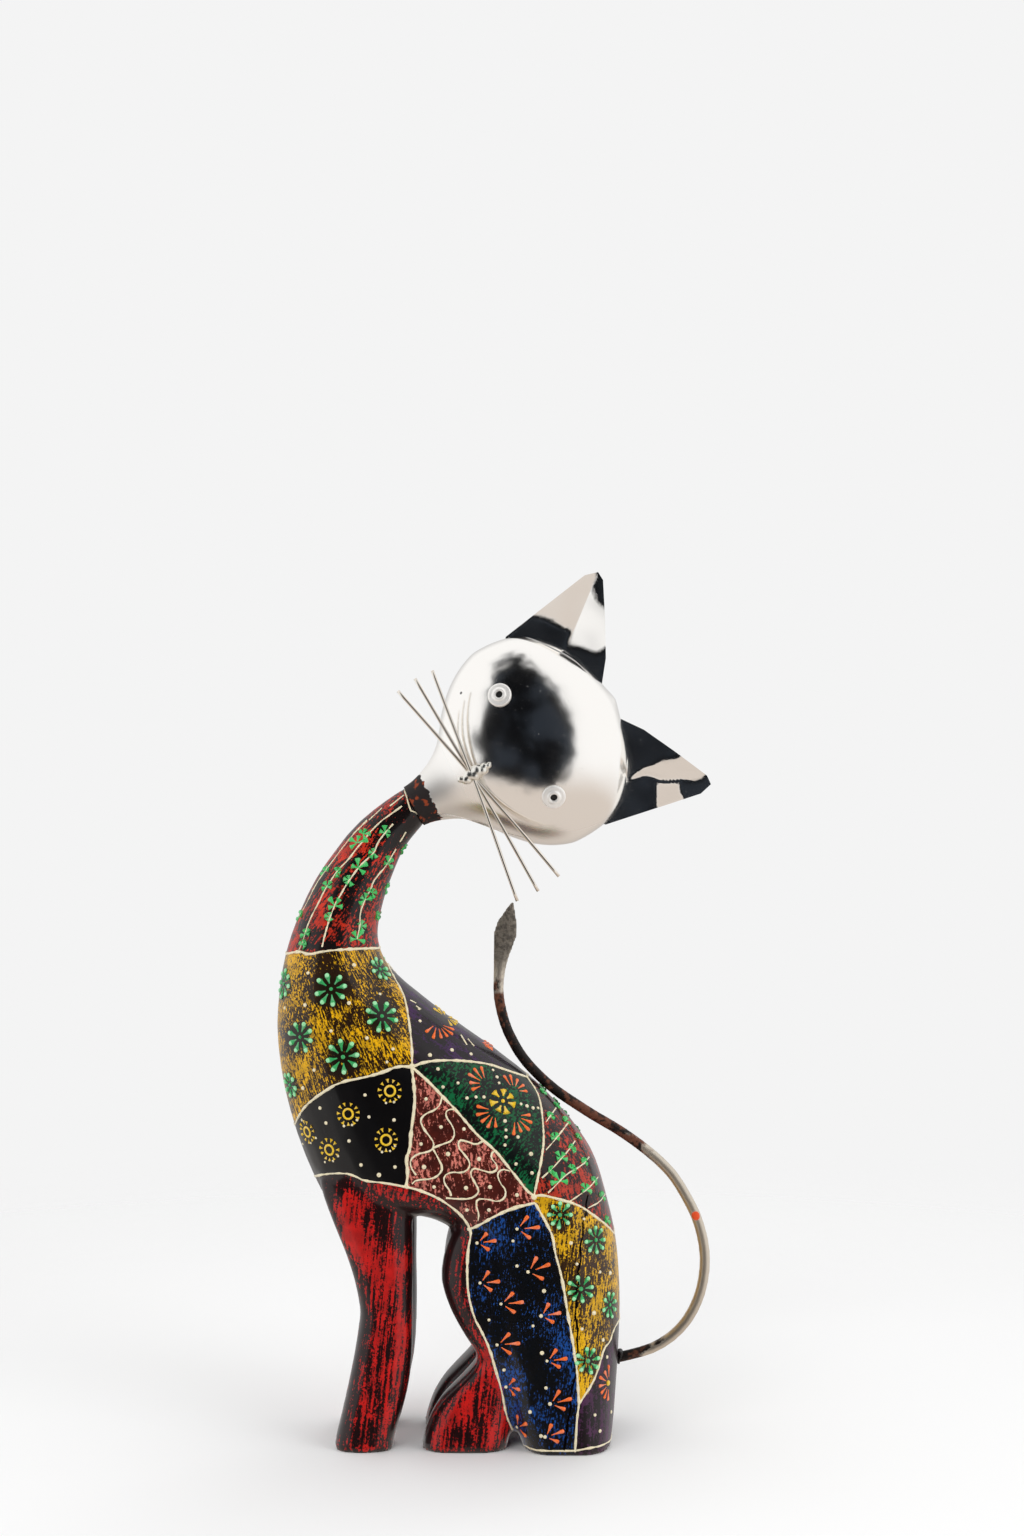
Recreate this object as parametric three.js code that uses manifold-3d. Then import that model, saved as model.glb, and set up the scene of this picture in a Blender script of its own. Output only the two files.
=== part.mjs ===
// A seated cat figurine: a carved wooden body with a sheet-metal head, wire whiskers and a rod tail.
// Millimetres, +Z up. The cat is seen from its side: its chest is at -X, its back and tail are at +X,
// and its face is turned to look out along -Y.
import * as THREE from 'three';
import { mergeVertices } from 'three/addons/utils/BufferGeometryUtils.js';
import Module from 'manifold-3d';

const wasm = await Module();
wasm.setup();

// Carved wooden body
const bodyHeight = 300;        // floor to the top of the neck's end; the carving keeps shares of it
const bodyDepth = 80;          // across the haunches
const neckDiameter = 20;       // where the wood meets the metal
const tenonLength = 10;        // wood that stands in the head's sleeve
const legGap = 18;             // clear space between the forelegs
const pawGap = 12;             // clear space between the hind paws

// Sheet-metal head
const headLength = 106;        // sleeve's edge to crown
const headWidth = 100;
const headDepth = 54;
const headTilt = 28;           // degrees that the head's axis rises above the horizontal
const sheetThickness = 1;
const earFold = 7;             // how deep the folded ear is at its crease
const earReach = 23;           // from the crown to the ear's tip, along the head's axis

// Eyes
const eyeDiameter = 11;
const eyeThickness = 2.1;
const rivetDiameter = 6.4;
const pupilDiameter = 2.1;
const eyeSpacing = 52.4;

// Whiskers and the solder that holds them
const whiskerLength = 112;
const whiskerDiameter = 1.5;
const whiskerAngles = [-13, -2, 8];   // degrees from straight across the face
const whiskerOffset = -5;             // middle of each wire from the middle of the face
const solderLength = 17;
const solderWidth = 5.2;

// Tail
const rodDiameter = 5;
const rodInHole = 14;          // rod that stands in the drilled hole
const leafLength = 38;         // flattened tip
const leafWidth = 11.2;
const leafThickness = 2.2;

// Fits
const clearance = 0.3;         // between pieces that touch on the real object
const overrun = 4;             // how far a cutting or joining shape runs on past what it meets

// Facets
const trunkSides = 32;
const trunkSteps = 46;
const legSides = 16;
const headSides = 28;
const headSteps = 22;
const rodSides = 10;
const rodSteps = 56;

const share = bodyHeight / 100;
const depthShare = bodyDepth / 100;
const radians = THREE.MathUtils.degToRad;

const materials = {
  paintedWood: new THREE.MeshStandardMaterial({ color: 0x3a2a2c, roughness: 0.4, metalness: 0 }),
  platedMetal: new THREE.MeshStandardMaterial({ color: 0xd9d2c4, roughness: 0.22, metalness: 1 }),
  wire: new THREE.MeshStandardMaterial({ color: 0xb9b2a6, roughness: 0.35, metalness: 1 }),
  rod: new THREE.MeshStandardMaterial({ color: 0xa79f94, roughness: 0.4, metalness: 1 }),
};

// A closed skin through rings of points that all have the same count, from the first ring to the last.
function skin(rings) {
  const count = rings[0].length;
  const positions = [];
  for (const ring of rings) {
    for (const point of ring) positions.push(point.x, point.y, point.z);
  }
  const index = [];
  for (let r = 0; r + 1 < rings.length; r += 1) {
    for (let i = 0; i < count; i += 1) {
      const j = (i + 1) % count;
      const a = r * count + i;
      const b = r * count + j;
      index.push(a, b, a + count, b, b + count, a + count);
    }
  }
  for (const [r, turn] of [[0, 1], [rings.length - 1, -1]]) {
    const middle = new THREE.Vector3();
    for (const point of rings[r]) middle.addScaledVector(point, 1 / count);
    const hub = positions.length / 3;
    positions.push(middle.x, middle.y, middle.z);
    for (let i = 0; i < count; i += 1) {
      const a = r * count + i;
      const b = r * count + ((i + 1) % count);
      index.push(hub, turn > 0 ? b : a, turn > 0 ? a : b);
    }
  }
  const geometry = new THREE.BufferGeometry();
  geometry.setAttribute('position', new THREE.Float32BufferAttribute(positions, 3));
  geometry.setIndex(index);
  return geometry;
}

// A ring with soft corners: an ellipse at squareness 2, nearer to a rectangle above that.
function softRing(middle, across, along, sides, squareness) {
  const ring = [];
  for (let i = 0; i < sides; i += 1) {
    const angle = (i / sides) * Math.PI * 2;
    const c = Math.cos(angle);
    const s = Math.sin(angle);
    const reachC = Math.sign(c) * Math.abs(c) ** (2 / squareness);
    const reachS = Math.sign(s) * Math.abs(s) ** (2 / squareness);
    ring.push(middle.clone().addScaledVector(across, reachC).addScaledVector(along, reachS));
  }
  return ring;
}

// A manifold solid from a closed geometry, and its outward-facing form whichever way it was wound.
function solidOf(geometry) {
  const bare = geometry.clone();
  bare.deleteAttribute('normal');
  bare.deleteAttribute('uv');
  const merged = mergeVertices(bare, 1e-4);
  const vertProperties = new Float32Array(merged.attributes.position.array);
  const triVerts = new Uint32Array(merged.index.array);
  const solid = new wasm.Manifold(new wasm.Mesh({ numProp: 3, vertProperties, triVerts }));
  if (solid.volume() > 0) return solid;
  for (let i = 0; i < triVerts.length; i += 3) {
    [triVerts[i + 1], triVerts[i + 2]] = [triVerts[i + 2], triVerts[i + 1]];
  }
  return new wasm.Manifold(new wasm.Mesh({ numProp: 3, vertProperties, triVerts }));
}

function geometryOf(solid) {
  const mesh = solid.getMesh();
  const geometry = new THREE.BufferGeometry();
  geometry.setAttribute('position', new THREE.BufferAttribute(new Float32Array(mesh.vertProperties), 3));
  geometry.setIndex(new THREE.BufferAttribute(new Uint32Array(mesh.triVerts), 1));
  return geometry;
}

function piece(name, solid, material) {
  const mesh = new THREE.Mesh(geometryOf(solid), material);
  mesh.name = name;
  return mesh;
}

// A smooth course through values given at equal steps, read at t from 0 to 1.
function course(values) {
  const curve = new THREE.CatmullRomCurve3(values.map((value, i) => new THREE.Vector3(i, value, 0)));
  return (t) => curve.getPoint(t).y;
}

// A round bar between two points.
function bar(from, to, radius, sides) {
  const length = from.distanceTo(to);
  const geometry = new THREE.CylinderGeometry(radius, radius, length, sides);
  const direction = to.clone().sub(from).normalize();
  const turn = new THREE.Quaternion().setFromUnitVectors(new THREE.Vector3(0, 1, 0), direction);
  geometry.applyQuaternion(turn);
  const middle = from.clone().add(to).multiplyScalar(0.5);
  geometry.translate(middle.x, middle.y, middle.z);
  return geometry;
}

const inPlane = (x, z) => new THREE.Vector3(x * share, 0, z * share);

// The head's own frame: its origin is where the wood meets the metal, X runs up the head to the crown
// and Z runs across the face.
const neckEnd = inPlane(-15.2, 97.1);
const headFrame = new THREE.Matrix4().makeRotationY(-radians(headTilt)).setPosition(neckEnd);
const headAxis = new THREE.Vector3(1, 0, 0).transformDirection(headFrame);
const faceAcross = new THREE.Vector3(0, 0, 1).transformDirection(headFrame);
const neckRadius = neckDiameter / 2;

// Trunk, from the neck over the chest and the back to the haunches. Each station gives the point on the
// throat, chest or belly side and the point on the nape or back side, then the depth and the squareness.
const trunkStations = [
  [-20.1, 97.7, -14.8, 93.0, 26, 2.0],
  [-24.5, 94.0, -16.2, 91.2, 30, 2.0],
  [-27.4, 90.3, -17.3, 89.2, 35, 2.0],
  [-30.2, 86.4, -18.3, 86.7, 41, 2.0],
  [-32.5, 81.8, -19.5, 83.5, 48, 2.0],
  [-34.4, 76.7, -20.4, 80.0, 55, 2.0],
  [-35.6, 72.0, -20.7, 77.1, 62, 2.0],
  [-36.2, 67.1, -19.8, 73.7, 69, 2.1],
  [-36.4, 62.4, -17.8, 71.1, 75, 2.1],
  [-35.9, 57.0, -13.9, 67.9, 80, 2.2],
  [-34.7, 51.3, -7.7, 63.2, 85, 2.2],
  [-32.8, 45.1, -1.1, 58.6, 90, 2.3],
  [-30.5, 39.8, 4.5, 53.9, 94, 2.4],
  [-28.0, 36.0, 8.8, 49.3, 96, 2.5],
  [-20.0, 34.7, 11.0, 46.2, 98, 2.6],
  [-14.6, 34.4, 12.4, 43.9, 99, 2.6],
  [-10.4, 33.0, 13.7, 40.5, 100, 2.7],
  [-7.6, 30.4, 14.9, 36.2, 100, 2.8],
  [-8.0, 27.6, 15.9, 31.8, 100, 2.8],
  [-8.3, 25.0, 16.5, 27.3, 100, 2.8],
  [-8.0, 22.6, 16.7, 23.7, 100, 2.8],
  [-7.0, 20.0, 16.7, 20.0, 100, 2.8],
  [-5.2, 16.8, 16.6, 16.4, 100, 2.8],
  [-3.6, 13.4, 16.4, 12.6, 100, 2.9],
  [-2.2, 9.4, 16.1, 8.8, 99, 2.9],
  [-0.6, 4.4, 15.7, 4.2, 99, 3.3],
  [1.5, 0.0, 15.2, 0.0, 96, 3.5],
];

function railsOf(stations) {
  const reach = neckRadius - clearance / 2;
  const start = neckEnd.clone().addScaledVector(headAxis, -clearance);
  const front = [start.clone().addScaledVector(faceAcross, reach)];
  const back = [start.clone().addScaledVector(faceAcross, -reach)];
  const halfDepths = [reach];
  const squareness = [2];
  for (const [frontX, frontZ, backX, backZ, depth, square] of stations) {
    front.push(inPlane(frontX, frontZ));
    back.push(inPlane(backX, backZ));
    halfDepths.push((depth / 100) * (bodyDepth / 2));
    squareness.push(square);
  }
  return {
    front: new THREE.CatmullRomCurve3(front),
    back: new THREE.CatmullRomCurve3(back),
    halfDepth: course(halfDepths),
    square: course(squareness),
  };
}

const trunkRails = railsOf(trunkStations);

function trunk() {
  const rings = [];
  for (let step = 0; step <= trunkSteps; step += 1) {
    const t = step / trunkSteps;
    const front = trunkRails.front.getPoint(t);
    const back = trunkRails.back.getPoint(t);
    const middle = front.clone().add(back).multiplyScalar(0.5);
    const across = back.clone().sub(front).multiplyScalar(0.5);
    const along = new THREE.Vector3(0, trunkRails.halfDepth(t), 0);
    rings.push(softRing(middle, across, along, trunkSides, trunkRails.square(t)));
  }
  return skin(rings);
}

// A leg stands in level slices. Each row gives the height, the front edge and the rear edge as shares
// of the body's height, and the outer face as a share of its depth.
const forelegRows = [
  [41.0, -29.6, -16.0, 38.0],
  [38.0, -28.9, -15.4, 40.0],
  [34.4, -27.5, -15.0, 41.0],
  [29.9, -25.6, -14.9, 41.2],
  [25.3, -24.1, -14.9, 40.8],
  [20.8, -23.2, -14.9, 40.2],
  [18.5, -23.4, -14.9, 40.2],
  [14.0, -24.1, -15.0, 40.6],
  [9.4, -25.0, -15.6, 41.4],
  [4.9, -26.1, -16.7, 42.4],
  [1.6, -26.9, -17.7, 43.0],
  [0.0, -27.0, -17.9, 42.4],
];

const hindLegRows = [
  [35.0, -7.3, 3.0, 44.0],
  [32.6, -9.4, 3.0, 46.0],
  [28.6, -10.6, 3.0, 47.4],
  [25.0, -10.8, 3.0, 47.6],
  [20.9, -9.4, 3.0, 47.4],
  [17.0, -7.2, 3.0, 46.6],
  [13.9, -5.4, 3.0, 45.4],
  [12.2, -6.4, 2.6, 43.4],
  [10.7, -7.8, 2.0, 42.4],
  [7.7, -10.7, 1.0, 42.0],
  [5.0, -12.4, 0.4, 43.0],
  [1.6, -13.6, -0.3, 44.0],
  [0.0, -13.8, -0.6, 43.4],
];

function leg(rows, gap, side, squareness) {
  const steps = rows.length * 2 - 2;
  const [height, front, rear, outer] = [0, 1, 2, 3].map((k) => course(rows.map((row) => row[k])));
  const rings = [];
  for (let step = 0; step <= steps; step += 1) {
    const t = step / steps;
    const inner = gap / 2;
    const reach = outer(t) * depthShare;
    const middle = inPlane((front(t) + rear(t)) / 2, height(t));
    middle.y = (side * (inner + reach)) / 2;
    const across = new THREE.Vector3(((rear(t) - front(t)) / 2) * share, 0, 0);
    const along = new THREE.Vector3(0, (reach - inner) / 2, 0);
    rings.push(softRing(middle, across, along, legSides, squareness));
  }
  return skin(rings);
}

// Tail: the line of the rod's inner side, the side towards the back, from the hole to the leaf's tip.
const tailRoot = inPlane(16.25, 11.75);
const rootDirection = new THREE.Vector3(0.98, 0, 0.2).normalize();
const tailLine = [
  [22.0, 14.3], [25.8, 17.3], [28.2, 21.7], [29.0, 27.3], [27.9, 32.8], [25.7, 37.2],
  [24.2, 39.5], [22.1, 41.7], [19.3, 44.0], [16.0, 46.3], [12.1, 48.6], [9.6, 50.2],
  [6.1, 52.6], [2.8, 55.6], [0.7, 58.1], [-0.7, 60.5], [-1.8, 62.9], [-2.9, 67.8],
  [-2.7, 72.6], [-1.9, 77.3], [-1.4, 79.7], [-0.7, 82.5],
];

function tailCurve() {
  const radius = rodDiameter / 2;
  const drawn = tailLine.map(([x, z]) => inPlane(x, z));
  const points = [
    tailRoot.clone().addScaledVector(rootDirection, -rodInHole),
    tailRoot.clone().addScaledVector(rootDirection, -rodInHole / 2),
    tailRoot.clone().addScaledVector(rootDirection, clearance * 4),
  ];
  const rise = new THREE.Vector3(-rootDirection.z, 0, rootDirection.x).multiplyScalar(radius);
  const inner = new THREE.CatmullRomCurve3([points[2].clone().add(rise), ...drawn]);
  for (let i = 1; i <= drawn.length; i += 1) {
    const t = i / drawn.length;
    const tangent = inner.getTangent(t);
    const outward = new THREE.Vector3(tangent.z, 0, -tangent.x);
    points.push(inner.getPoint(t).addScaledVector(outward, radius));
  }
  return new THREE.CatmullRomCurve3(points);
}

const tailPath = tailCurve();

// The tip is hammered flat, into a leaf that is widest past its middle.
const leafShares = course([rodDiameter / leafWidth, 0.5, 0.62, 0.8, 0.98, 0.9, 0.52, 0.08]);

function tail() {
  const total = tailPath.getLength();
  const rings = [];
  for (let step = 0; step <= rodSteps; step += 1) {
    const t = step / rodSteps;
    const middle = tailPath.getPointAt(t);
    const tangent = tailPath.getTangentAt(t);
    const leaf = Math.max(1 - ((1 - t) * total) / leafLength, 0);
    const width = leafWidth * leafShares(leaf);
    const flat = THREE.MathUtils.smoothstep(leaf, 0, 0.5);
    const thickness = THREE.MathUtils.lerp(rodDiameter, leafThickness, flat);
    const across = new THREE.Vector3(tangent.z, 0, -tangent.x).multiplyScalar(width / 2);
    rings.push(softRing(middle, across, new THREE.Vector3(0, thickness / 2, 0), rodSides, 2));
  }
  return skin(rings);
}

function carvedBody() {
  let body = solidOf(trunk());
  for (const side of [-1, 1]) {
    body = body.add(solidOf(leg(forelegRows, legGap, side, 2.6)));
    body = body.add(solidOf(leg(hindLegRows, pawGap, side, 2.8)));
  }
  const tenonStart = neckEnd.clone().addScaledVector(headAxis, -overrun);
  const tenonEnd = neckEnd.clone().addScaledVector(headAxis, tenonLength - clearance);
  const tenonRadius = neckRadius - sheetThickness - clearance;
  body = body.add(solidOf(bar(tenonStart, tenonEnd, tenonRadius, headSides)));
  const holeEnd = tailRoot.clone().addScaledVector(rootDirection, -rodInHole - clearance);
  const holeMouth = tailRoot.clone().addScaledVector(rootDirection, overrun * 2);
  const holeRadius = rodDiameter / 2 + clearance;
  return body.subtract(solidOf(bar(holeEnd, holeMouth, holeRadius, rodSides * 2)));
}

// Half width and half depth of the head along its axis, as shares, from the sleeve to the crown.
const headRows = [
  [0.0, 0.0, 0.0], [5.5, 2.2, 5.0], [12.8, 9.6, 13.0], [18.3, 18.0, 24.0], [23.9, 33.0, 40.0],
  [28.8, 51.6, 56.0], [33.7, 66.4, 69.0], [39.4, 80.4, 81.0], [46.2, 91.6, 91.0], [53.8, 99.0, 98.0],
  [60.4, 100.0, 100.0], [68.6, 97.8, 96.0], [75.0, 92.6, 89.0], [81.2, 81.5, 77.5], [87.0, 66.0, 63.5],
  [91.8, 47.0, 45.0], [95.5, 22.0, 24.0], [98.3, -6.0, -12.0], [100.0, -25.0, -36.5],
];

// A zero share stands for the neck's radius, so the sleeve always fits the neck.
function headHalf(value, full) {
  const top = full / 2;
  return neckRadius + (value / 100) * (top - neckRadius);
}

const headAlong = course(headRows.map((row) => row[0]));
const headWide = course(headRows.map((row) => row[1]));
const headDeep = course(headRows.map((row) => row[2]));

function headSection(t) {
  return {
    along: (headAlong(t) / 100) * headLength,
    wide: Math.max(headHalf(headWide(t), headWidth), clearance),
    deep: Math.max(headHalf(headDeep(t), headDepth), clearance),
  };
}

function headForm(grow) {
  const rings = [];
  for (let step = 0; step <= headSteps; step += 1) {
    const { along, wide, deep } = headSection(step / headSteps);
    const middle = new THREE.Vector3(along + (step === headSteps ? grow : 0), 0, 0);
    const across = new THREE.Vector3(0, 0, wide + grow);
    rings.push(softRing(middle, across, new THREE.Vector3(0, deep + grow, 0), headSides, 2));
  }
  return solidOf(skin(rings));
}

// The face's surface at a place along the head and across it, and how it leans there.
function onFace(along, across) {
  let t = 0.5;
  let step = 0.25;
  for (let i = 0; i < 24; i += 1) {
    t += headSection(t).along < along ? step : -step;
    step /= 2;
  }
  const { wide, deep } = headSection(t);
  const y = -deep * Math.sqrt(Math.max(1 - (across / wide) ** 2, 0));
  const ahead = headSection(Math.min(t + 0.01, 1));
  const rise = (ahead.deep - deep) / (ahead.along - headSection(t).along);
  const normal = new THREE.Vector3(-rise, y / deep, (across * deep) / wide ** 2);
  return { point: new THREE.Vector3(along, y, across), normal: normal.normalize() };
}

function headShell() {
  const radius = neckRadius - sheetThickness;
  const mouth = new THREE.Vector3(-overrun, 0, 0);
  const bottom = new THREE.Vector3(tenonLength, 0, 0);
  return headForm(0).subtract(solidOf(bar(mouth, bottom, radius, headSides)));
}

// An ear is one sheet folded along a crease that runs from inside the rim to the tip. Its outline is
// given along the head from the crown's line and across it, as shares of the reach and the head's width.
const earTip = [100, 55.8];
const earCreaseFoot = [-78, 22.0];
const earOutline = [
  [-170, 38.0], [-126, 49.4], [-63, 51.9], [73, 57.4], earTip, [101, 51.4], [66, 34.2], [32, 18.8],
  [0, 8.9], [-60, 4.0],
];

function ear(side) {
  const place = ([along, across]) => new THREE.Vector3(
    headLength * 0.977 + (along / 100) * earReach,
    0,
    (side * across * headWidth) / 100,
  );
  const tip = place(earTip);
  const foot = place(earCreaseFoot);
  foot.y = earFold * 1.6;
  const outer = place(earOutline[1]);
  const inner = place(earOutline[8]);
  const outline = earOutline.map((point, i) => {
    const at = place(point);
    const facet = new THREE.Plane().setFromCoplanarPoints(tip, foot, i < 5 ? outer : inner);
    at.y = -(facet.constant + facet.normal.x * at.x + facet.normal.z * at.z) / facet.normal.y;
    return at;
  });
  const front = [foot, ...outline];
  const positions = [];
  for (const shift of [0, sheetThickness]) {
    for (const point of front) positions.push(point.x, point.y + shift, point.z);
  }
  const count = front.length;
  const index = [];
  for (let i = 1; i + 1 < count; i += 1) {
    index.push(0, i, i + 1, count, count + i + 1, count + i);
  }
  for (let i = 0; i < count; i += 1) {
    const j = (i + 1) % count;
    index.push(j, i, count + i, j, count + i, count + j);
  }
  const geometry = new THREE.BufferGeometry();
  geometry.setAttribute('position', new THREE.Float32BufferAttribute(positions, 3));
  geometry.setIndex(index);
  return solidOf(geometry).subtract(headForm(clearance));
}

// An eye is a domed washer with a rivet through it and a hole in the rivet.
function eye(side) {
  const outer = eyeDiameter / 2;
  const rivet = rivetDiameter / 2;
  const pupil = pupilDiameter / 2;
  const profile = [
    [0, 0], [outer, 0], [outer, eyeThickness * 0.2], [outer * 0.88, eyeThickness * 0.45],
    [rivet * 1.08, eyeThickness * 0.58], [rivet, eyeThickness * 0.82], [rivet * 0.7, eyeThickness],
    [pupil * 1.1, eyeThickness], [pupil, eyeThickness * 0.4], [0, eyeThickness * 0.4],
  ].map(([x, y]) => new THREE.Vector2(x, y));
  const geometry = new THREE.LatheGeometry(profile, 14);
  const { point, normal } = onFace(headLength * 0.558, (side * eyeSpacing) / 2);
  const turn = new THREE.Quaternion().setFromUnitVectors(new THREE.Vector3(0, 1, 0), normal);
  const curveRoom = outer ** 2 / headDepth;
  geometry.applyQuaternion(turn);
  point.addScaledVector(normal, clearance + curveRoom / 2);
  geometry.translate(point.x, point.y, point.z);
  return solidOf(geometry).subtract(headForm(clearance));
}

// Whiskers lie across the muzzle, one on another, and cross at the solder.
const muzzle = onFace(headLength * 0.31, 0);
const crossing = onFace(headLength * 0.288, 0);
const wirePitch = whiskerDiameter + clearance;

function whiskerEnds(layer) {
  const lean = radians(whiskerAngles[layer]);
  const direction = new THREE.Vector3(Math.sin(lean), 0, Math.cos(lean));
  const depth = crossing.point.y - clearance * 2 - whiskerDiameter / 2 - layer * wirePitch;
  const cross = new THREE.Vector3(crossing.point.x, depth, 0);
  const middle = cross.addScaledVector(direction, whiskerOffset);
  const from = middle.clone().addScaledVector(direction, -whiskerLength / 2);
  const to = middle.clone().addScaledVector(direction, whiskerLength / 2);
  return [from, to];
}

const whisker = (layer, grow) => {
  const [from, to] = whiskerEnds(layer);
  return solidOf(bar(from, to, whiskerDiameter / 2 + grow, 8));
};

function solder() {
  const stack = wirePitch * whiskerAngles.length;
  const geometry = new THREE.SphereGeometry(1, 12, 8);
  geometry.scale(solderLength / 2, stack / 2 + whiskerDiameter, solderWidth / 2);
  geometry.translate(muzzle.point.x, muzzle.point.y - stack / 2, 0);
  let solid = solidOf(geometry).subtract(headForm(clearance));
  for (let layer = 0; layer < whiskerAngles.length; layer += 1) {
    solid = solid.subtract(whisker(layer, clearance));
  }
  return solid;
}

const group = new THREE.Group();
const figurine = new THREE.Group();
const head = new THREE.Group();
head.position.copy(neckEnd);
head.rotation.y = -radians(headTilt);

figurine.add(piece('carved_body', carvedBody(), materials.paintedWood));
figurine.add(piece('tail', solidOf(tail()), materials.rod));
head.add(piece('head_shell', headShell(), materials.platedMetal));
for (const [name, side] of [['upper', 1], ['lower', -1]]) {
  head.add(piece(`ear_${name}`, ear(side), materials.platedMetal));
  head.add(piece(`eye_${name}`, eye(side), materials.platedMetal));
}
for (let layer = 0; layer < whiskerAngles.length; layer += 1) {
  head.add(piece(`whisker_${layer + 1}`, whisker(layer, 0), materials.wire));
}
head.add(piece('nose_solder', solder(), materials.platedMetal));
figurine.add(head);
group.add(figurine);

// The origin is the middle of the whole figurine's box, on the floor.
group.updateMatrixWorld(true);
const box = new THREE.Box3().setFromObject(group, true);
figurine.position.set(-(box.min.x + box.max.x) / 2, -(box.min.y + box.max.y) / 2, -box.min.z);

export default group;
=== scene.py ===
# %% [markdown]
# # A painted wooden cat with a sheet-metal head
# The figurine is a carved cat, painted in patches and varnished, with a plated head, three whiskers of
# wire and a bent rod for a tail. Its solids come as a fixed frame, in metres. This lesson dresses them:
# a finer skin for each piece, raised paint on the wood, and a finish for every surface.

# %% Load the fixed frame
import math
import random

import bmesh
import bpy
import numpy as np
from mathutils import Matrix, Vector, noise
from mathutils.bvhtree import BVHTree


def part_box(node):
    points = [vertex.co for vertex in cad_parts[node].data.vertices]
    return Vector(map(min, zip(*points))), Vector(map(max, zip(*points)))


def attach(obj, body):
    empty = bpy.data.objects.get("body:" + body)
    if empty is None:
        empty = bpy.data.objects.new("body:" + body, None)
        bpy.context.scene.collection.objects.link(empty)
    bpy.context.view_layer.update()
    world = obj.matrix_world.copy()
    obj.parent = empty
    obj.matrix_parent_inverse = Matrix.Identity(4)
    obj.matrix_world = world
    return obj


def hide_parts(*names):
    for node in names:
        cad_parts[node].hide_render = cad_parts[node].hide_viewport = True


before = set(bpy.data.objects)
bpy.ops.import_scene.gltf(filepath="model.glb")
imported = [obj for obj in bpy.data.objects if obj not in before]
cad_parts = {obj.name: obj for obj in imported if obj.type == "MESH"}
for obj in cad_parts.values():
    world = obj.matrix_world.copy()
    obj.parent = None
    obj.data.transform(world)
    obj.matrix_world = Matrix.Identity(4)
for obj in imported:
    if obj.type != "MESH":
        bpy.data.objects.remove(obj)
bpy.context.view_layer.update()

MM = 0.001
SEED = 7                             # one seed for both, so that every run paints the same cat
rng = random.Random(SEED)
noise.seed_set(SEED)
print("solids:", sorted(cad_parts))

# %% [markdown]
# ## Camera
# The photograph was taken from the cat's side with the camera level, a little over a metre away. The
# body's middle plane is parallel to the image, so one scale turns its pixels into metres. The camera
# comes first, because the painted lines are later thrown from it onto the wood.

# %% Camera and the way through each pixel
PHOTO_CENTRE = (512, 768)
METRES_PER_PIXEL = 0.4644 * MM       # at the middle plane of the cat
CAMERA_AWAY = 1.170
CAMERA_SPOT = Vector((0.0084, -CAMERA_AWAY, 0.309))
PHOTO_HEIGHT = 1536
SENSOR = 36.0

camera_data = bpy.data.cameras.new("camera")
camera_data.sensor_fit = "VERTICAL"
camera_data.sensor_height = SENSOR
camera_data.lens = SENSOR * CAMERA_AWAY / (PHOTO_HEIGHT * METRES_PER_PIXEL)
camera = bpy.data.objects.new("camera", camera_data)
camera.location = CAMERA_SPOT
camera.rotation_euler = (math.radians(90), 0, 0)
bpy.context.collection.objects.link(camera)
bpy.context.scene.camera = camera


def way(px, py):
    """The direction from the camera through a pixel of the photograph."""
    side = (px - PHOTO_CENTRE[0]) * METRES_PER_PIXEL
    rise = (PHOTO_CENTRE[1] - py) * METRES_PER_PIXEL
    return Vector((side, CAMERA_AWAY, rise)).normalized()


def pixels(points):
    """Where points of the near side, or the mirror image of the far side, fall in the photograph."""
    depth = CAMERA_AWAY - np.abs(points[:, 1])
    scale = CAMERA_AWAY / (depth * METRES_PER_PIXEL)
    px = PHOTO_CENTRE[0] + (points[:, 0] - CAMERA_SPOT.x) * scale
    py = PHOTO_CENTRE[1] - (points[:, 2] - CAMERA_SPOT.z) * scale
    return px, py


print("lens:", round(camera_data.lens, 2), "mm")

# %% [markdown]
# ## Shader maths as expressions
# A node tree is easier to read as a sum than as a web of wires. `Value` wraps one output socket, and its
# operators add Math nodes. Every other node comes from `Finish.node`, which sets a node's options first
# and its sockets next.


# %% Values and finishes
class Value:
    """One shader output that Python's operators work on."""

    def __init__(self, finish, socket):
        self.finish = finish
        self.socket = socket

    def math(self, operation, *others):
        sockets = dict(enumerate([self, *others]))
        return self.finish.node("ShaderNodeMath", {"operation": operation}, sockets)

    def __add__(self, other):
        return self.math("ADD", other)

    def __sub__(self, other):
        return self.math("SUBTRACT", other)

    def __mul__(self, other):
        return self.math("MULTIPLY", other)

    def __rsub__(self, other):
        return self.finish.node("ShaderNodeMath", {"operation": "SUBTRACT"}, {0: other, 1: self})

    __radd__ = __add__
    __rmul__ = __mul__

    def ramp(self, low, high):
        """0 at low, 1 at high, and smooth between."""
        return self.finish.node(
            "ShaderNodeMapRange", {"interpolation_type": "SMOOTHSTEP"},
            {"Value": self, "From Min": low, "From Max": high},
        )


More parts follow.
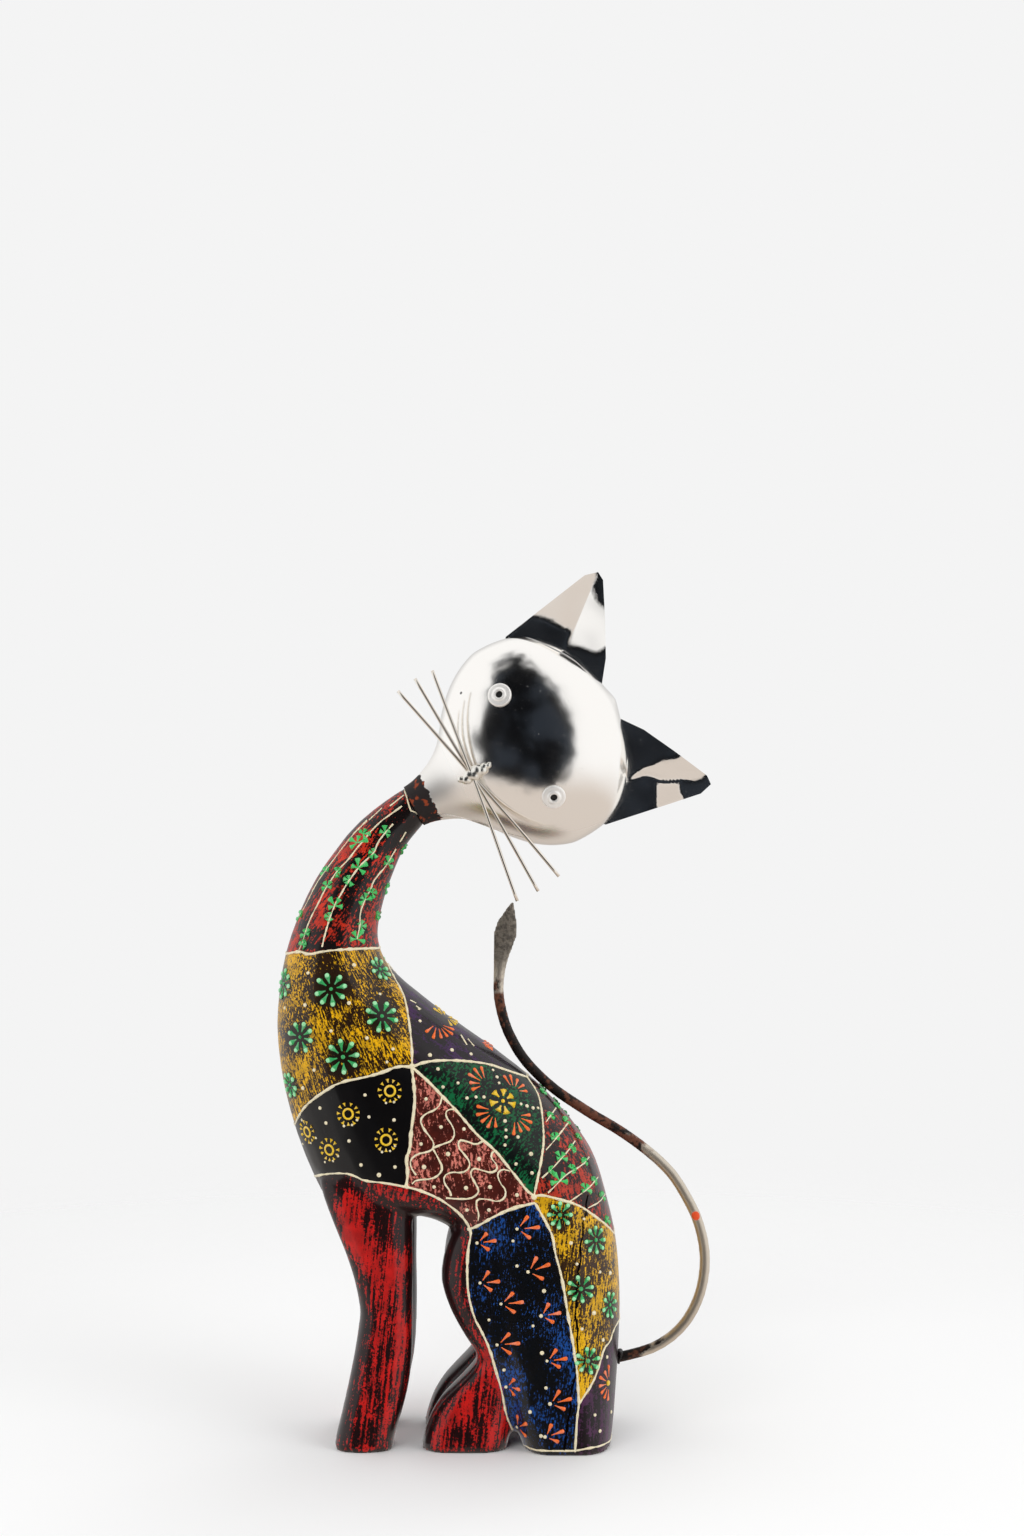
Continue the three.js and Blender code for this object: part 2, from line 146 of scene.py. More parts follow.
class Finish:
    """A material that is made by adding nodes."""

    def __init__(self, name, **constants):
        self.material = bpy.data.materials.new(name)
        self.material.use_nodes = True
        self.tree = self.material.node_tree
        self.shader = self.tree.nodes["Principled BSDF"]
        for socket, value in constants.items():
            self.shader.inputs[socket.replace("_", " ")].default_value = value

    def node(self, kind, options=None, sockets=None, out=0):
        made = self.tree.nodes.new(kind)
        for option, value in (options or {}).items():
            setattr(made, option, value)
        for socket, value in (sockets or {}).items():
            if isinstance(value, Value):
                self.tree.links.new(value.socket, made.inputs[socket])
            else:
                made.inputs[socket].default_value = value
        return Value(self, made.outputs[out])

    def mix(self, factor, first, second):
        options = {"data_type": "RGBA"}
        return self.node("ShaderNodeMix", options, {0: factor, 6: first, 7: second}, out=2)

    def place(self):
        return self.node("ShaderNodeTexCoord", out="Object")

    def attribute(self, name, out="Vector"):
        return self.node("ShaderNodeAttribute", {"attribute_name": name}, out=out)

    def away_from(self, spot):
        """How far each place of the piece is from one spot."""
        sockets = {0: self.place(), 1: spot}
        return self.node("ShaderNodeVectorMath", {"operation": "DISTANCE"}, sockets, out="Value")

    def cloud(self, where, scale, detail=3.0, roughness=0.55):
        sockets = {"Vector": where, "Scale": scale, "Detail": detail, "Roughness": roughness}
        return self.node("ShaderNodeTexNoise", None, sockets)

    def bump(self, height, strength, distance):
        sockets = {"Height": height, "Strength": strength, "Distance": distance}
        return self.node("ShaderNodeBump", None, sockets)

    def feed(self, **links):
        for socket, value in links.items():
            self.tree.links.new(value.socket, self.shader.inputs[socket.replace("_", " ")])
        return self.material


def paint(red, green, blue, alpha=1.0):
    """A linear colour from one that was judged."""
    linear = [v / 12.92 if v <= 0.04045 else ((v + 0.055) / 1.055) ** 2.4 for v in (red, green, blue)]
    return (*linear, alpha)


print("a cream paint in linear light:", [round(v, 3) for v in paint(0.95, 0.90, 0.76)])

# %% [markdown]
# ## Working with meshes
# Each solid is a loose set of flat triangles, so a copy is merged before it is used. A voxel remesh then
# gives wood and cast pieces an even, soft skin that can carry paint marks.

# %% Mesh helpers
SAME_PLACE = 1e-6
EASING = 0.5                         # how far one round of smoothing moves a point to its neighbours


def copy_of(node):
    """A merged bmesh copy of one of the frame's solids."""
    bm = bmesh.new()
    bm.from_mesh(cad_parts[node].data)
    bmesh.ops.remove_doubles(bm, verts=bm.verts, dist=SAME_PLACE)
    return bm


def object_from(name, bm, smooth=True):
    """Turns a bmesh into an object in the scene."""
    mesh = bpy.data.meshes.new(name)
    bm.to_mesh(mesh)
    bm.free()
    obj = bpy.data.objects.new(name, mesh)
    bpy.context.collection.objects.link(obj)
    mesh.shade_smooth() if smooth else mesh.shade_flat()
    return obj


def applied(obj):
    """Bakes the modifiers of an object into its mesh."""
    shown = obj.evaluated_get(bpy.context.evaluated_depsgraph_get())
    mesh = bpy.data.meshes.new_from_object(shown)
    obj.modifiers.clear()
    old = obj.data
    obj.data = mesh
    bpy.data.meshes.remove(old)
    return obj


def remeshed(obj, voxel, rounds):
    """An even skin of quads over a closed mesh, eased by a few rounds of smoothing."""
    modifier = obj.modifiers.new("skin", "REMESH")
    modifier.mode = "VOXEL"
    modifier.voxel_size = voxel
    modifier.use_smooth_shade = True
    applied(obj)
    bm = bmesh.new()
    bm.from_mesh(obj.data)
    for _ in range(rounds):
        bmesh.ops.smooth_vert(
            bm, verts=bm.verts, factor=EASING, use_axis_x=True, use_axis_y=True, use_axis_z=True,
        )
    bm.to_mesh(obj.data)
    bm.free()
    obj.data.shade_smooth()
    return obj


merged = copy_of("carved_body")
print("the body's solid has", len(merged.verts), "corners once it is merged")
merged.free()

# %% [markdown]
# Blender keeps the numbers of a mesh in long lists. Reading or writing a whole list at once is far quicker
# than going from point to point. A tree of the faces finds the nearest place on a mesh, or the place that
# a ray hits.

# %% Read, write and dress a mesh
FIELDS = {"FLOAT": "value", "FLOAT_VECTOR": "vector", "FLOAT_COLOR": "color"}


def read_points(mesh, field="co"):
    """The place, or the normal, of every point of a mesh."""
    values = np.empty((len(mesh.vertices), 3))
    mesh.vertices.foreach_get(field, values.ravel())
    return values


def write_attribute(mesh, name, kind, values, domain="POINT"):
    """Stores one value for each point, or for each corner of each face, for a material to read."""
    layer = mesh.attributes.new(name, kind, domain)
    layer.data.foreach_set(FIELDS[kind], np.ravel(values))


def tree_of(mesh):
    """The mesh's faces, ready for rays and for the nearest place."""
    return BVHTree.FromPolygons(
        [vertex.co.copy() for vertex in mesh.vertices], [tuple(face.vertices) for face in mesh.polygons],
    )


def turned_to(direction):
    """The turn that lays a shape's own Z along a direction."""
    return Vector((0, 0, 1)).rotation_difference(direction).to_matrix().to_4x4()


def eased(values, low, high):
    """0 below low, 1 above high, and smooth between."""
    t = np.clip((values - low) / (high - low), 0, 1)
    return t * t * (3 - 2 * t)


def dress(obj, material, slot, *nodes):
    """Gives a finished piece its material and its body, and hides the solids that it stands for; the slot is
    not used.
    """
    for one in material if isinstance(material, list) else [material]:
        obj.data.materials.append(one)
    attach(obj, "root")
    if nodes:
        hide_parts(*nodes)
    print(obj.name, len(obj.data.polygons), "faces")


print("half way from 0 to 1, eased:", float(eased(0.5, 0.0, 1.0)))

# %% [markdown]
# ## The carved wood
# The body is one piece of light wood. Its solid has the right form in flat facets. A remesh at under two
# millimetres with some smoothing gives the worn, hand-sanded surface, and slow noise gives the ripples
# that a knife leaves. The soles are pressed flat again so that the cat stands as the solid does. At its
# widest the wood is drawn in a little, so that the raised paint stays inside the solid's box.

# %% Wooden body
WOOD_VOXEL = 1.4 * MM
WOOD_ROUNDS = 5
SOLE = 0.9 * MM
RIPPLES = 45                         # knife marks to a metre
RIPPLE_DEPTH = 0.25 * MM
WIDE_FROM = 37 * MM                  # beyond this the wood gives room for the raised paint
WIDE_SHARE = 0.70
wood = remeshed(object_from("carved_wood", copy_of("carved_body")), WOOD_VOXEL, WOOD_ROUNDS)
points = read_points(wood.data)
normals = read_points(wood.data, "normal")
for point, normal in zip(points, normals):
    if point[2] < SOLE:
        point[2] = 0.0
    elif point[2] > 3 * SOLE:
        point += normal * (noise.noise(Vector(point) * RIPPLES) - 1) * RIPPLE_DEPTH
    past = abs(point[1]) - WIDE_FROM
    if past > 0:
        point[1] = math.copysign(WIDE_FROM + past * WIDE_SHARE, point[1])
wood.data.vertices.foreach_set("co", points.ravel())
wood.data.update()
wood_tree = tree_of(wood.data)
print("wood:", len(wood.data.vertices), "points")

# %% [markdown]
# ## The patches
# The painter divided the cat with cream lines and gave each patch its own ground colour, dry-brushed over
# with a brighter one. The lines are given in pixels of the photograph, with no more points than they turn
# corners, and the patches share them. The far side, which the photograph does not show, is taken as the
# mirror image.

# %% Lines between the patches
NECK_BAND = [(278, 955), (286, 954), (300, 951), (308, 955), (324, 951), (351, 949), (381, 948)]
NAPE = [(381, 948), (390, 970), (402, 991), (406, 1002), (410, 1028), (412, 1048), (412, 1067)]
CHEST = [
    (412, 1067), (398, 1066), (381, 1073), (362, 1078), (340, 1082), (320, 1094), (305, 1106),
    (298, 1117), (294, 1127),
]
SHOULDER = [
    (412, 1067), (415, 1096), (414, 1111), (411, 1132), (410, 1150), (406, 1158), (408, 1174), (406, 1187),
]
ELBOW = [(312, 1177), (325, 1174), (344, 1173), (355, 1176), (364, 1181), (385, 1183), (406, 1187)]
BELLY = [(406, 1187), (419, 1190), (438, 1198), (450, 1206), (460, 1214), (467, 1223), (470, 1229)]
FLANK = [(470, 1229), (478, 1226), (495, 1216), (513, 1208), (535, 1203)]
SADDLE = [(412, 1067), (424, 1062), (443, 1060), (468, 1061), (489, 1064), (506, 1070), (527, 1077)]
RIBS = [
    (412, 1067), (430, 1083), (443, 1097), (456, 1110), (466, 1122), (479, 1137), (495, 1150),
    (506, 1164), (518, 1179), (527, 1191), (534, 1196),
]
LOIN = [
    (527, 1077), (537, 1091), (541, 1104), (543, 1122), (544, 1141), (542, 1156), (539, 1173),
    (534, 1196),
]
RUMP = [(534, 1196), (543, 1195), (558, 1199), (579, 1205), (592, 1214), (608, 1226), (616, 1236)]
THIGH = [
    (535, 1203), (547, 1224), (553, 1237), (555, 1253), (560, 1270), (564, 1289), (567, 1310),
    (572, 1337), (575, 1356), (577, 1371), (579, 1404),
]
HEEL = [(579, 1404), (577, 1419), (576, 1436), (575, 1452)]
TAIL_SIDE = [(579, 1404), (593, 1383), (599, 1367), (604, 1348), (610, 1342), (613, 1331), (619, 1320)]
SHIN = [
    (470, 1229), (471, 1235), (468, 1249), (467, 1271), (468, 1294), (474, 1318), (482, 1332),
    (490, 1350), (495, 1368), (502, 1391), (506, 1415), (513, 1431), (521, 1443),
]
COLLAR = [(405, 791), (407, 798), (409, 806), (411, 811)]
CRACK = [
    (588, 1195), (586, 1204), (586, 1215), (583, 1222), (583, 1235), (580, 1247), (581, 1260),
    (578, 1272), (579, 1283), (576, 1292), (577, 1302), (575, 1315), (578, 1330), (577, 1340),
    (578, 1352), (575, 1364), (576, 1375), (573, 1385), (570, 1397), (571, 1408), (568, 1421),
    (566, 1436), (564, 1452),
]
HEM = [
    (521, 1443), (533, 1450), (547, 1451), (562, 1451), (575, 1451), (590, 1448), (601, 1446),
    (612, 1440),
]
print("corners from the chest to the hem:", len(CHEST) + len(SHOULDER) + len(SHIN) + len(HEM))

# %% [markdown]
# Each patch is an outline with some margin outside the cat, then its ground colour, its top colour, how
# much of the top coat is left, the lean of the brush strokes in degrees from upright, and how fine the
# marks are across and along the strokes, in marks for each metre. What no outline takes in is a leg.

# %% Grounds and brush marks
PATCHES = {
    "neck": (
        [*NECK_BAND, (470, 900), (470, 740), (300, 740), (230, 950)],
        paint(0.07, 0.04, 0.04), paint(0.80, 0.18, 0.08), 0.462, -35, 900, 150,
    ),
    "chest": (
        [*NECK_BAND, *NAPE[1:], *CHEST[1:], (240, 1127), (230, 955)],
        paint(0.17, 0.10, 0.04), paint(0.93, 0.70, 0.03), 0.488, 22, 1500, 170,
    ),
    "nape": (
        [*NAPE, *SADDLE[1:], (560, 1100), (640, 1060), (420, 900)],
        paint(0.11, 0.08, 0.10), paint(0.24, 0.12, 0.30), 0.47, 60, 400, 90,
    ),
    "breast": (
        [*CHEST[::-1], *SHOULDER[1:], *ELBOW[::-1], (240, 1176), (240, 1127)],
        paint(0.03, 0.025, 0.03), paint(0.10, 0.09, 0.10), 0.40, 20, 300, 60,
    ),
    "ribs": (
        [*SHOULDER, *BELLY[1:], *FLANK[1:], *RIBS[::-1]],
        paint(0.30, 0.10, 0.07), paint(0.86, 0.50, 0.44), 0.455, 6, 800, 260,
    ),
    "back": (
        [*SADDLE, *LOIN[1:], *RIBS[::-1]],
        paint(0.01, 0.04, 0.03), paint(0.02, 0.38, 0.21), 0.475, -38, 900, 110,
    ),
    "loin": (
        [*LOIN, *RUMP[1:], (700, 1236), (700, 1060), (560, 1060)],
        paint(0.13, 0.07, 0.07), paint(0.74, 0.22, 0.14), 0.48, 12, 800, 180,
    ),
    "haunch": (
        [*SHIN[::-1], *FLANK[1:], *THIGH[1:], *HEEL[1:], (575, 1500), (521, 1500)],
        paint(0.02, 0.03, 0.05), paint(0.05, 0.28, 0.58), 0.458, -4, 1500, 380,
    ),
    "rump": (
        [*RUMP, (700, 1236), (700, 1320), *TAIL_SIDE[::-1], *THIGH[::-1]],
        paint(0.22, 0.13, 0.05), paint(0.92, 0.70, 0.03), 0.500, -8, 1500, 150,
    ),
    "heel": (
        [*HEEL, (575, 1500), (700, 1500), (700, 1320), *TAIL_SIDE[::-1]],
        paint(0.11, 0.07, 0.09), paint(0.30, 0.15, 0.29), 0.49, 0, 400, 70,
    ),
}
LEGS = (paint(0.13, 0.03, 0.035), paint(0.76, 0.075, 0.055), 0.515, -6, 800, 36)
LEG_EDGE_PAINTED_SHADE = 0.075                    # less top coat, so darker paint, where a leg turns away from the side: painted shade
UNDER_BELLY_PAINTED_SHADE = 0.025                 # and just under the belly: painted shade too
UNDER_BELLY_SHADE_PIXELS = (1190, 1225)               # pixels down which that painted shade fades
print("patches:", ", ".join(PATCHES))

# %% [markdown]
# Every point of the wood is looked up in the photograph and takes the settings of the patch that it falls
# in. Its place along and across that patch's brush strokes is worked out here too, so that the shader
# only has to put noise on it.


# %% Give every point its patch
def inside(outline, px, py):
    """Which pixels lie in an outline, by counting how often a line to the left crosses it."""
    within = np.zeros(len(px), bool)
    for (x0, y0), (x1, y1) in zip(outline, [*outline[1:], outline[0]]):
        if y0 == y1:
            continue
        crossing = (py > min(y0, y1)) & (py <= max(y0, y1))
        within ^= crossing & (px > x0 + (py - y0) * (x1 - x0) / (y1 - y0))
    return within


photo_x, photo_y = pixels(points)
ground = np.empty((len(points), 4))
topcoat = np.empty((len(points), 4))
cover = np.empty(len(points))
brushed = np.empty((len(points), 3))


def fill(chosen, under, over, left, lean, across, along):
    """Writes one patch's colours and its brush coordinates onto the chosen points."""
    ground[chosen] = under
    topcoat[chosen] = over
    cover[chosen] = left
    c, s = math.cos(math.radians(lean)), math.sin(math.radians(lean))
    x, y, z = points[chosen].T
    brushed[chosen] = np.stack([(x * c + z * s) * across, y * across, (z * c - x * s) * along], 1)


fill(np.ones(len(points), bool), *LEGS)
flat_side = eased(np.abs(normals[:, 1]), 0.55, 0.97)
# Painted shade: the legs keep less top coat, so their paint is darker, on their turned edges and just under
# the belly.
cover -= LEG_EDGE_PAINTED_SHADE * (1 - flat_side) + UNDER_BELLY_PAINTED_SHADE * (1 - eased(photo_y, *UNDER_BELLY_SHADE_PIXELS))
for name, (outline, *settings) in PATCHES.items():
    chosen = inside(outline, photo_x, photo_y)
    fill(chosen, *settings)
    print(name, int(chosen.sum()), "points")

# %% [markdown]
# ## Raised paint
# The cream lines, flowers, dots and sprigs stand up from the wood, because they were squeezed from a cone.
# Each stroke is a thin curve with a radius at every point, sunk a little into the wood, so a petal is
# simply a short stroke that swells towards its end. A ray from the camera finds the place of a pixel on
# the wood, and the nearest point of the wood settles everything drawn round it.

# %% Colours of the squeezed paint, and places on the wood
COLOURS = {
    "cream": paint(0.93, 0.88, 0.74),
    "leaf_green": paint(0.24, 0.76, 0.38),
    "deep_green": paint(0.15, 0.64, 0.34),
    # a paler green for the painted highlights on the petals' ends
    "painted_highlight_green": paint(0.60, 0.90, 0.66),
    "gold": paint(0.93, 0.76, 0.08),
    "orange": paint(0.96, 0.42, 0.10),
    "crack_shadow_black": paint(0.03, 0.02, 0.02),
}
laid = {colour: [] for colour in COLOURS}       # strokes, each with its places and radii
beads = {colour: [] for colour in COLOURS}      # dots, each with its place, normal and radius


def touch(px, py):
    """The place on the wood that the camera sees at a pixel, or None."""
    spot, normal, _, _ = wood_tree.ray_cast(CAMERA_SPOT, way(px, py))
    return (spot, normal) if spot else None


def settle(point):
    """The nearest place on the wood."""
    spot, normal, _, _ = wood_tree.find_nearest(point)
    return spot, normal


def mirrored(point):
    """The same place on the far side."""
    return Vector((point.x, -point.y, point.z))


print("the middle of the breast lies at", [round(value, 3) for value in touch(355, 1125)[0]])

# %% [markdown]
# A line is drawn with few corners, so its corners are cut before it is laid. Its width wavers a little, as
# a hand does. A line that reaches the cat's outline can run on over the edge to meet its mirror image.

# %% Lay a line
SINK = 0.35                          # how much of its radius a stroke sinks into the wood
PIXEL_STEP = 2.5                     # pixels from one place of a line to the next
ROUND_STEPS = 8                      # steps from a place to its mirror image, over the edge
THINNEST, WAVER, WAVERS = 0.74, 0.55, 450


def lay(colour, spots, radii, closed=False):
    """Lays one stroke on the near side and its mirror image on the far side."""
    for flip in (False, True):
        stroke = []
        for spot, radius in zip(spots, radii):
            place, normal = settle(mirrored(spot) if flip else spot)
            stroke.append((place - normal * radius * SINK, radius))
        laid[colour].append((stroke, closed))


def smooth_line(points, rounds=2):
    """Cuts the corners of a line."""
    for _ in range(rounds):
        cut = [points[0]]
        for (x0, y0), (x1, y1) in zip(points, points[1:]):
            cut.append((x0 * 0.75 + x1 * 0.25, y0 * 0.75 + y1 * 0.25))
            cut.append((x0 * 0.25 + x1 * 0.75, y0 * 0.25 + y1 * 0.75))
        points = [*cut, points[-1]]
    return points


def thrown(points):
    """The places on the wood along a line of pixels, a few pixels apart."""
    spots = []
    for (x0, y0), (x1, y1) in zip(points, points[1:]):
        count = max(1, round(math.hypot(x1 - x0, y1 - y0) / PIXEL_STEP))
        for i in range(count):
            hit = touch(x0 + (x1 - x0) * i / count, y0 + (y1 - y0) * i / count)
            if hit:
                spots.append(hit[0])
    hit = touch(*points[-1])
    return [*spots, hit[0]] if hit else spots


def around(spot):
    """The way over the edge of the cat from a place to its mirror image, without the two ends."""
    other = mirrored(spot)
    return [settle(spot.lerp(other, i / ROUND_STEPS))[0] for i in range(1, ROUND_STEPS)]


def line(points, width, start_round=False, end_round=False, colour="cream", rounds=1):
    """A raised line. Where an end meets the cat's edge it goes on round to the far side."""
    spots = thrown(smooth_line(points, rounds))
    if start_round:
        half = around(spots[0])
        spots = [*half[len(half) // 2::-1], *spots]
    if end_round:
        spots = [*spots, *around(spots[-1])[:ROUND_STEPS // 2]]
    radii = [width * (THINNEST + WAVER * noise.noise(spot * WAVERS)) * MM for spot in spots]
    lay(colour, spots, radii)


print("places along the collar's edge:", len(thrown(COLLAR)))

# %% [markdown]
# A dot is a flattened ball. A petal is one short stroke, thin near the flower's middle and fat towards its
# end, and each green petal carries a paler drop near its end as a painted highlight.

# %% Lay a dot and a petal
DOT_SPREAD = (0.85, 1.15)            # how much one dot differs from the next
PETAL = [(0.0, 0.20), (0.3, 0.34), (0.55, 0.62), (0.75, 0.93), (0.87, 1.0), (0.96, 0.82), (1.0, 0.50)]
TIP_HIGHLIGHT_RISE, TIP_HIGHLIGHT_SIZE = 0.26, 0.74      # lift and size of the painted highlight drop, as shares of the petal's fattest radius


def dot(px, py, size, colour="cream"):
    """A bead of paint on both sides."""
    hit = touch(px, py)
    if not hit:
        return
    for spot in (hit[0], mirrored(hit[0])):
        place, normal = settle(spot)
        beads[colour].append((place, normal, size * MM * rng.uniform(*DOT_SPREAD)))


def tangent_frame(spot, normal):
    """Two directions in the surface: across to the right, and up."""
    right = Vector((0, 0, 1)).cross(normal)
    right = right.normalized() if right.length > 0.1 else Vector((1, 0, 0))
    return right, normal.cross(right)


def petal(centre, angle, near, far, fat, colour, tip=None):
    """A drop of paint that starts thin near the centre and ends fat."""
    spot, normal = centre
    right, up = tangent_frame(spot, normal)
    direction = right * math.cos(angle) + up * math.sin(angle)
    spots = [spot + direction * (near + (far - near) * t) * MM for t, _ in PETAL]
    lay(colour, spots, [fat * share * MM for _, share in PETAL])
    # Painted highlight: a paler drop near the fat end of the petal, on both sides.
    if tip:
        for end in (spots[-2], mirrored(spots[-2])):
            place, end_normal = settle(end)
            rise = end_normal * fat * TIP_HIGHLIGHT_RISE * MM
            beads[tip].append((place + rise, end_normal, fat * TIP_HIGHLIGHT_SIZE * MM))


print("a petal is fattest at", max(PETAL, key=lambda step: step[1])[0], "of its length")

# %% [markdown]
# Flowers, suns, sprigs and fans are all made of petals and dots. Each is turned and sized a little at
# random, always from the same seed. Flowers also leave a dark round ground, which the wood's paint shows.

# %% Lay a flower, a sun, a sprig and a fan
SUN_RING, SUN_REACH, SUN_RAYS, SUN_SIDES = 2.3, 4.7, 11, 14
SUN_DOTS = [(9, 6), (4, 11), (-4, 12)]
SPRIG_DROPS = [(-0.62, 0.18, 0.72), (0.10, 0.30, 1.0), (0.86, 0.16, 0.76)]
halos = []


def flower(px, py, size, petals=8, colour="deep_green", fat=1.5, halo=True):
    """Drop petals round a dot, on a dark round ground."""
    centre = touch(px, py)
    if not centre:
        return
    turn = rng.uniform(0, math.tau)
    for i in range(petals):
        angle = turn + math.tau * i / petals + rng.uniform(-0.1, 0.1)
        # green petals get a paler drop at their ends as a painted highlight
        tip = "painted_highlight_green" if colour == "deep_green" else None
        petal(centre, angle, size * 0.36, size * rng.uniform(0.90, 1.02), fat, colour, tip)
    dot(px, py, 1.0, colour)
    if halo:
        halos.append((centre[0], size * MM))


def sun(px, py):
    """A ring with a wreath of drops, and a few cream dots below it."""
    centre = touch(px, py)
    spot, normal = centre
    right, up = tangent_frame(spot, normal)
    circle = []
    for i in range(SUN_SIDES):
        angle = math.tau * i / SUN_SIDES
        circle.append(spot + (right * math.cos(angle) + up * math.sin(angle)) * SUN_RING * MM)
    lay("gold", circle, [0.58 * MM] * SUN_SIDES, closed=True)
    for i in range(SUN_RAYS):
        angle = math.tau * (i + rng.uniform(0.1, 0.5)) / SUN_RAYS
        petal(centre, angle, SUN_REACH * 0.80, SUN_REACH * rng.uniform(1.12, 1.24), 0.95, "gold")
    for right_by, down_by in SUN_DOTS:
        dot(px + right_by, py + down_by, 0.6)


def sprig(px, py, turn, size):
    """Three orange drops that spread from one side of a cream dot."""
    centre = touch(px, py)
    for spread, near, far in SPRIG_DROPS:
        petal(centre, turn + spread + rng.uniform(-0.1, 0.1), size * near, size * far, 1.08, "orange")
    dot(px - 1, py, 0.8)


def fan(px, py, degrees, size, drops=5, spread=0.46, colour="orange"):
    """A spray of drops to one side."""
    centre = touch(px, py)
    for i in range(drops):
        angle = math.radians(degrees) + (i - (drops - 1) / 2) * spread
        petal(centre, angle, size * 0.34, size * rng.uniform(0.84, 1.06), 0.92, colour)


print("a sun has", SUN_RAYS, "rays and a ring of", SUN_SIDES, "places")

# %% [markdown]
# The lines first. The ones that reach the cat's outline run on over its edge, so that the patches close
# on the far side too. The crack in the old wood is laid as a thin black line, the painted shadow inside the
# split.

# %% Lay the lines
line(NECK_BAND, 0.95, start_round=True, end_round=True)
line(NAPE, 0.85)
line(CHEST, 0.95, end_round=True)
line(SHOULDER, 1.05)
line(ELBOW, 0.75, start_round=True)
line(BELLY, 0.95)
line(FLANK, 1.0)
line(SADDLE, 0.95, end_round=True)
line(RIBS, 0.85)
line(LOIN, 0.75)
line(RUMP, 0.85, end_round=True)
line(THIGH, 0.85)
line(HEEL, 0.75)
line(TAIL_SIDE, 0.8, end_round=True)
line(SHIN, 0.75)
line(HEM, 0.7, end_round=True)
line(COLLAR, 0.6, start_round=True, end_round=True)
# Painted shadow: a thin black line stands for the shade inside the crack.
line(CRACK, 0.62, colour="crack_shadow_black", rounds=0)
MEETINGS = [(412, 1066, 1.35), (534, 1197, 1.3), (469, 1229, 1.0), (407, 1187, 1.1)]
for px, py, size in MEETINGS:
    dot(px, py, size)
print("lines:", len(laid["cream"]))

# %% [markdown]
# The chest and the rump have green flowers on old yellow, the breast has gold suns on black, and the blue
# haunch has rows of orange sprigs.

# %% Flowers, suns and sprigs
CHEST_FLOWERS = [
    (331, 989, 7.2), (382, 1016, 7.2), (343, 1057, 7.4), (300, 1037, 6.8), (380, 969, 5.6),
    (284, 984, 6.4), (290, 1085, 5.6),
]
RUMP_FLOWERS = [
    (560, 1215, 5.6), (596, 1240, 6.0), (581, 1289, 6.0), (610, 1305, 5.6), (588, 1361, 5.6),
]
SUNS = [(390, 1091), (348, 1114), (386, 1140), (307, 1132), (329, 1150)]
SPRIGS = [
    (478, 1243), (518, 1229), (529, 1272), (481, 1283), (502, 1304), (542, 1316), (498, 1345),
    (548, 1361), (507, 1387), (551, 1404), (518, 1427), (546, 1437),
]
for px, py, size in CHEST_FLOWERS:
    flower(px, py, size)
for px, py, size in RUMP_FLOWERS:
    flower(px, py, size, fat=1.3)
for px, py in SUNS:
    sun(px, py)
for px, py in SPRIGS:
    sprig(px, py, rng.uniform(-0.05, 0.30), rng.uniform(8.6, 10.4))
print("flowers:", len(CHEST_FLOWERS) + len(RUMP_FLOWERS), "suns:", len(SUNS), "sprigs:", len(SPRIGS))

# %% [markdown]
# Cream dots fill the ground between them. No two came out of the cone the same size.

# %% Dots on the patches
DOTS = [
    (354, 965), (308, 973), (380, 994), (349, 1003), (305, 1005), (331, 1031), (367, 1038), (393, 1049),
    (387, 1062), (314, 1070), (285, 1008), (303, 1088), (365, 1095), (320, 1108), (369, 1117),
    (326, 1123), (394, 1120), (349, 1141), (361, 1165), (395, 1167), (379, 1175), (302, 1120),
    (420, 1021), (430, 1055), (452, 1050), (471, 1054), (419, 1009), (438, 1069), (458, 1083),
    (443, 1087), (518, 1137), (531, 1154), (516, 1164), (532, 1173), (584, 1219), (571, 1243),
    (577, 1264), (600, 1272), (610, 1273), (594, 1313), (582, 1329), (603, 1340), (574, 1354),
    (595, 1415), (600, 1431), (611, 1412), (607, 1357), (513, 1241), (517, 1266), (544, 1291),
    (489, 1320), (533, 1326), (542, 1353), (504, 1370), (546, 1388), (530, 1412), (541, 1436),
]
for px, py in DOTS:
    dot(px, py, rng.uniform(0.75, 1.0))
print("dots:", len(beads["cream"]))

# %% [markdown]
# The green back has one yellow flower with four orange fans and rows of dots between them. A half flower
# sits on the nape and another on the heel.

# %% Back, nape and heel
BACK_FANS = [(486, 1084, 145), (514, 1091, 50), (495, 1111, 215), (515, 1116, -50)]
RAYS = [
    (499, 1083), (497, 1077), (493, 1070), (484, 1097), (476, 1097), (467, 1098), (521, 1104),
    (527, 1106), (533, 1108), (538, 1108), (505, 1121), (506, 1130), (506, 1137), (505, 1145),
]
NAPE_TICKS = [
    [(461, 1035), (467, 1045)], [(468, 1039), (474, 1046)],
    [(410, 1000), (416, 1003)], [(416, 1006), (421, 1009)],
]
flower(503, 1101, 6.8, petals=7, colour="gold", fat=1.9, halo=False)
for px, py, degrees in BACK_FANS:
    fan(px, py, degrees, 9.0)
for px, py in RAYS:
    dot(px, py, 0.8)
fan(437, 1023, -95, 10.0, drops=6, spread=0.44)
fan(446, 1017, -10, 7.0, drops=7, spread=0.7, colour="gold")
fan(480, 1043, -25, 8.0, drops=4, spread=0.3)
fan(609, 1383, 180, 8.6, drops=7, spread=0.48)
dot(608, 1383, 1.3, "gold")
for tick in NAPE_TICKS:
    line(tick, 0.6, rounds=0)
print("orange strokes:", len(laid["orange"]), "gold strokes:", len(laid["gold"]))

# %% [markdown]
# The ribs carry a net of wandering lines with a dot in every loop.

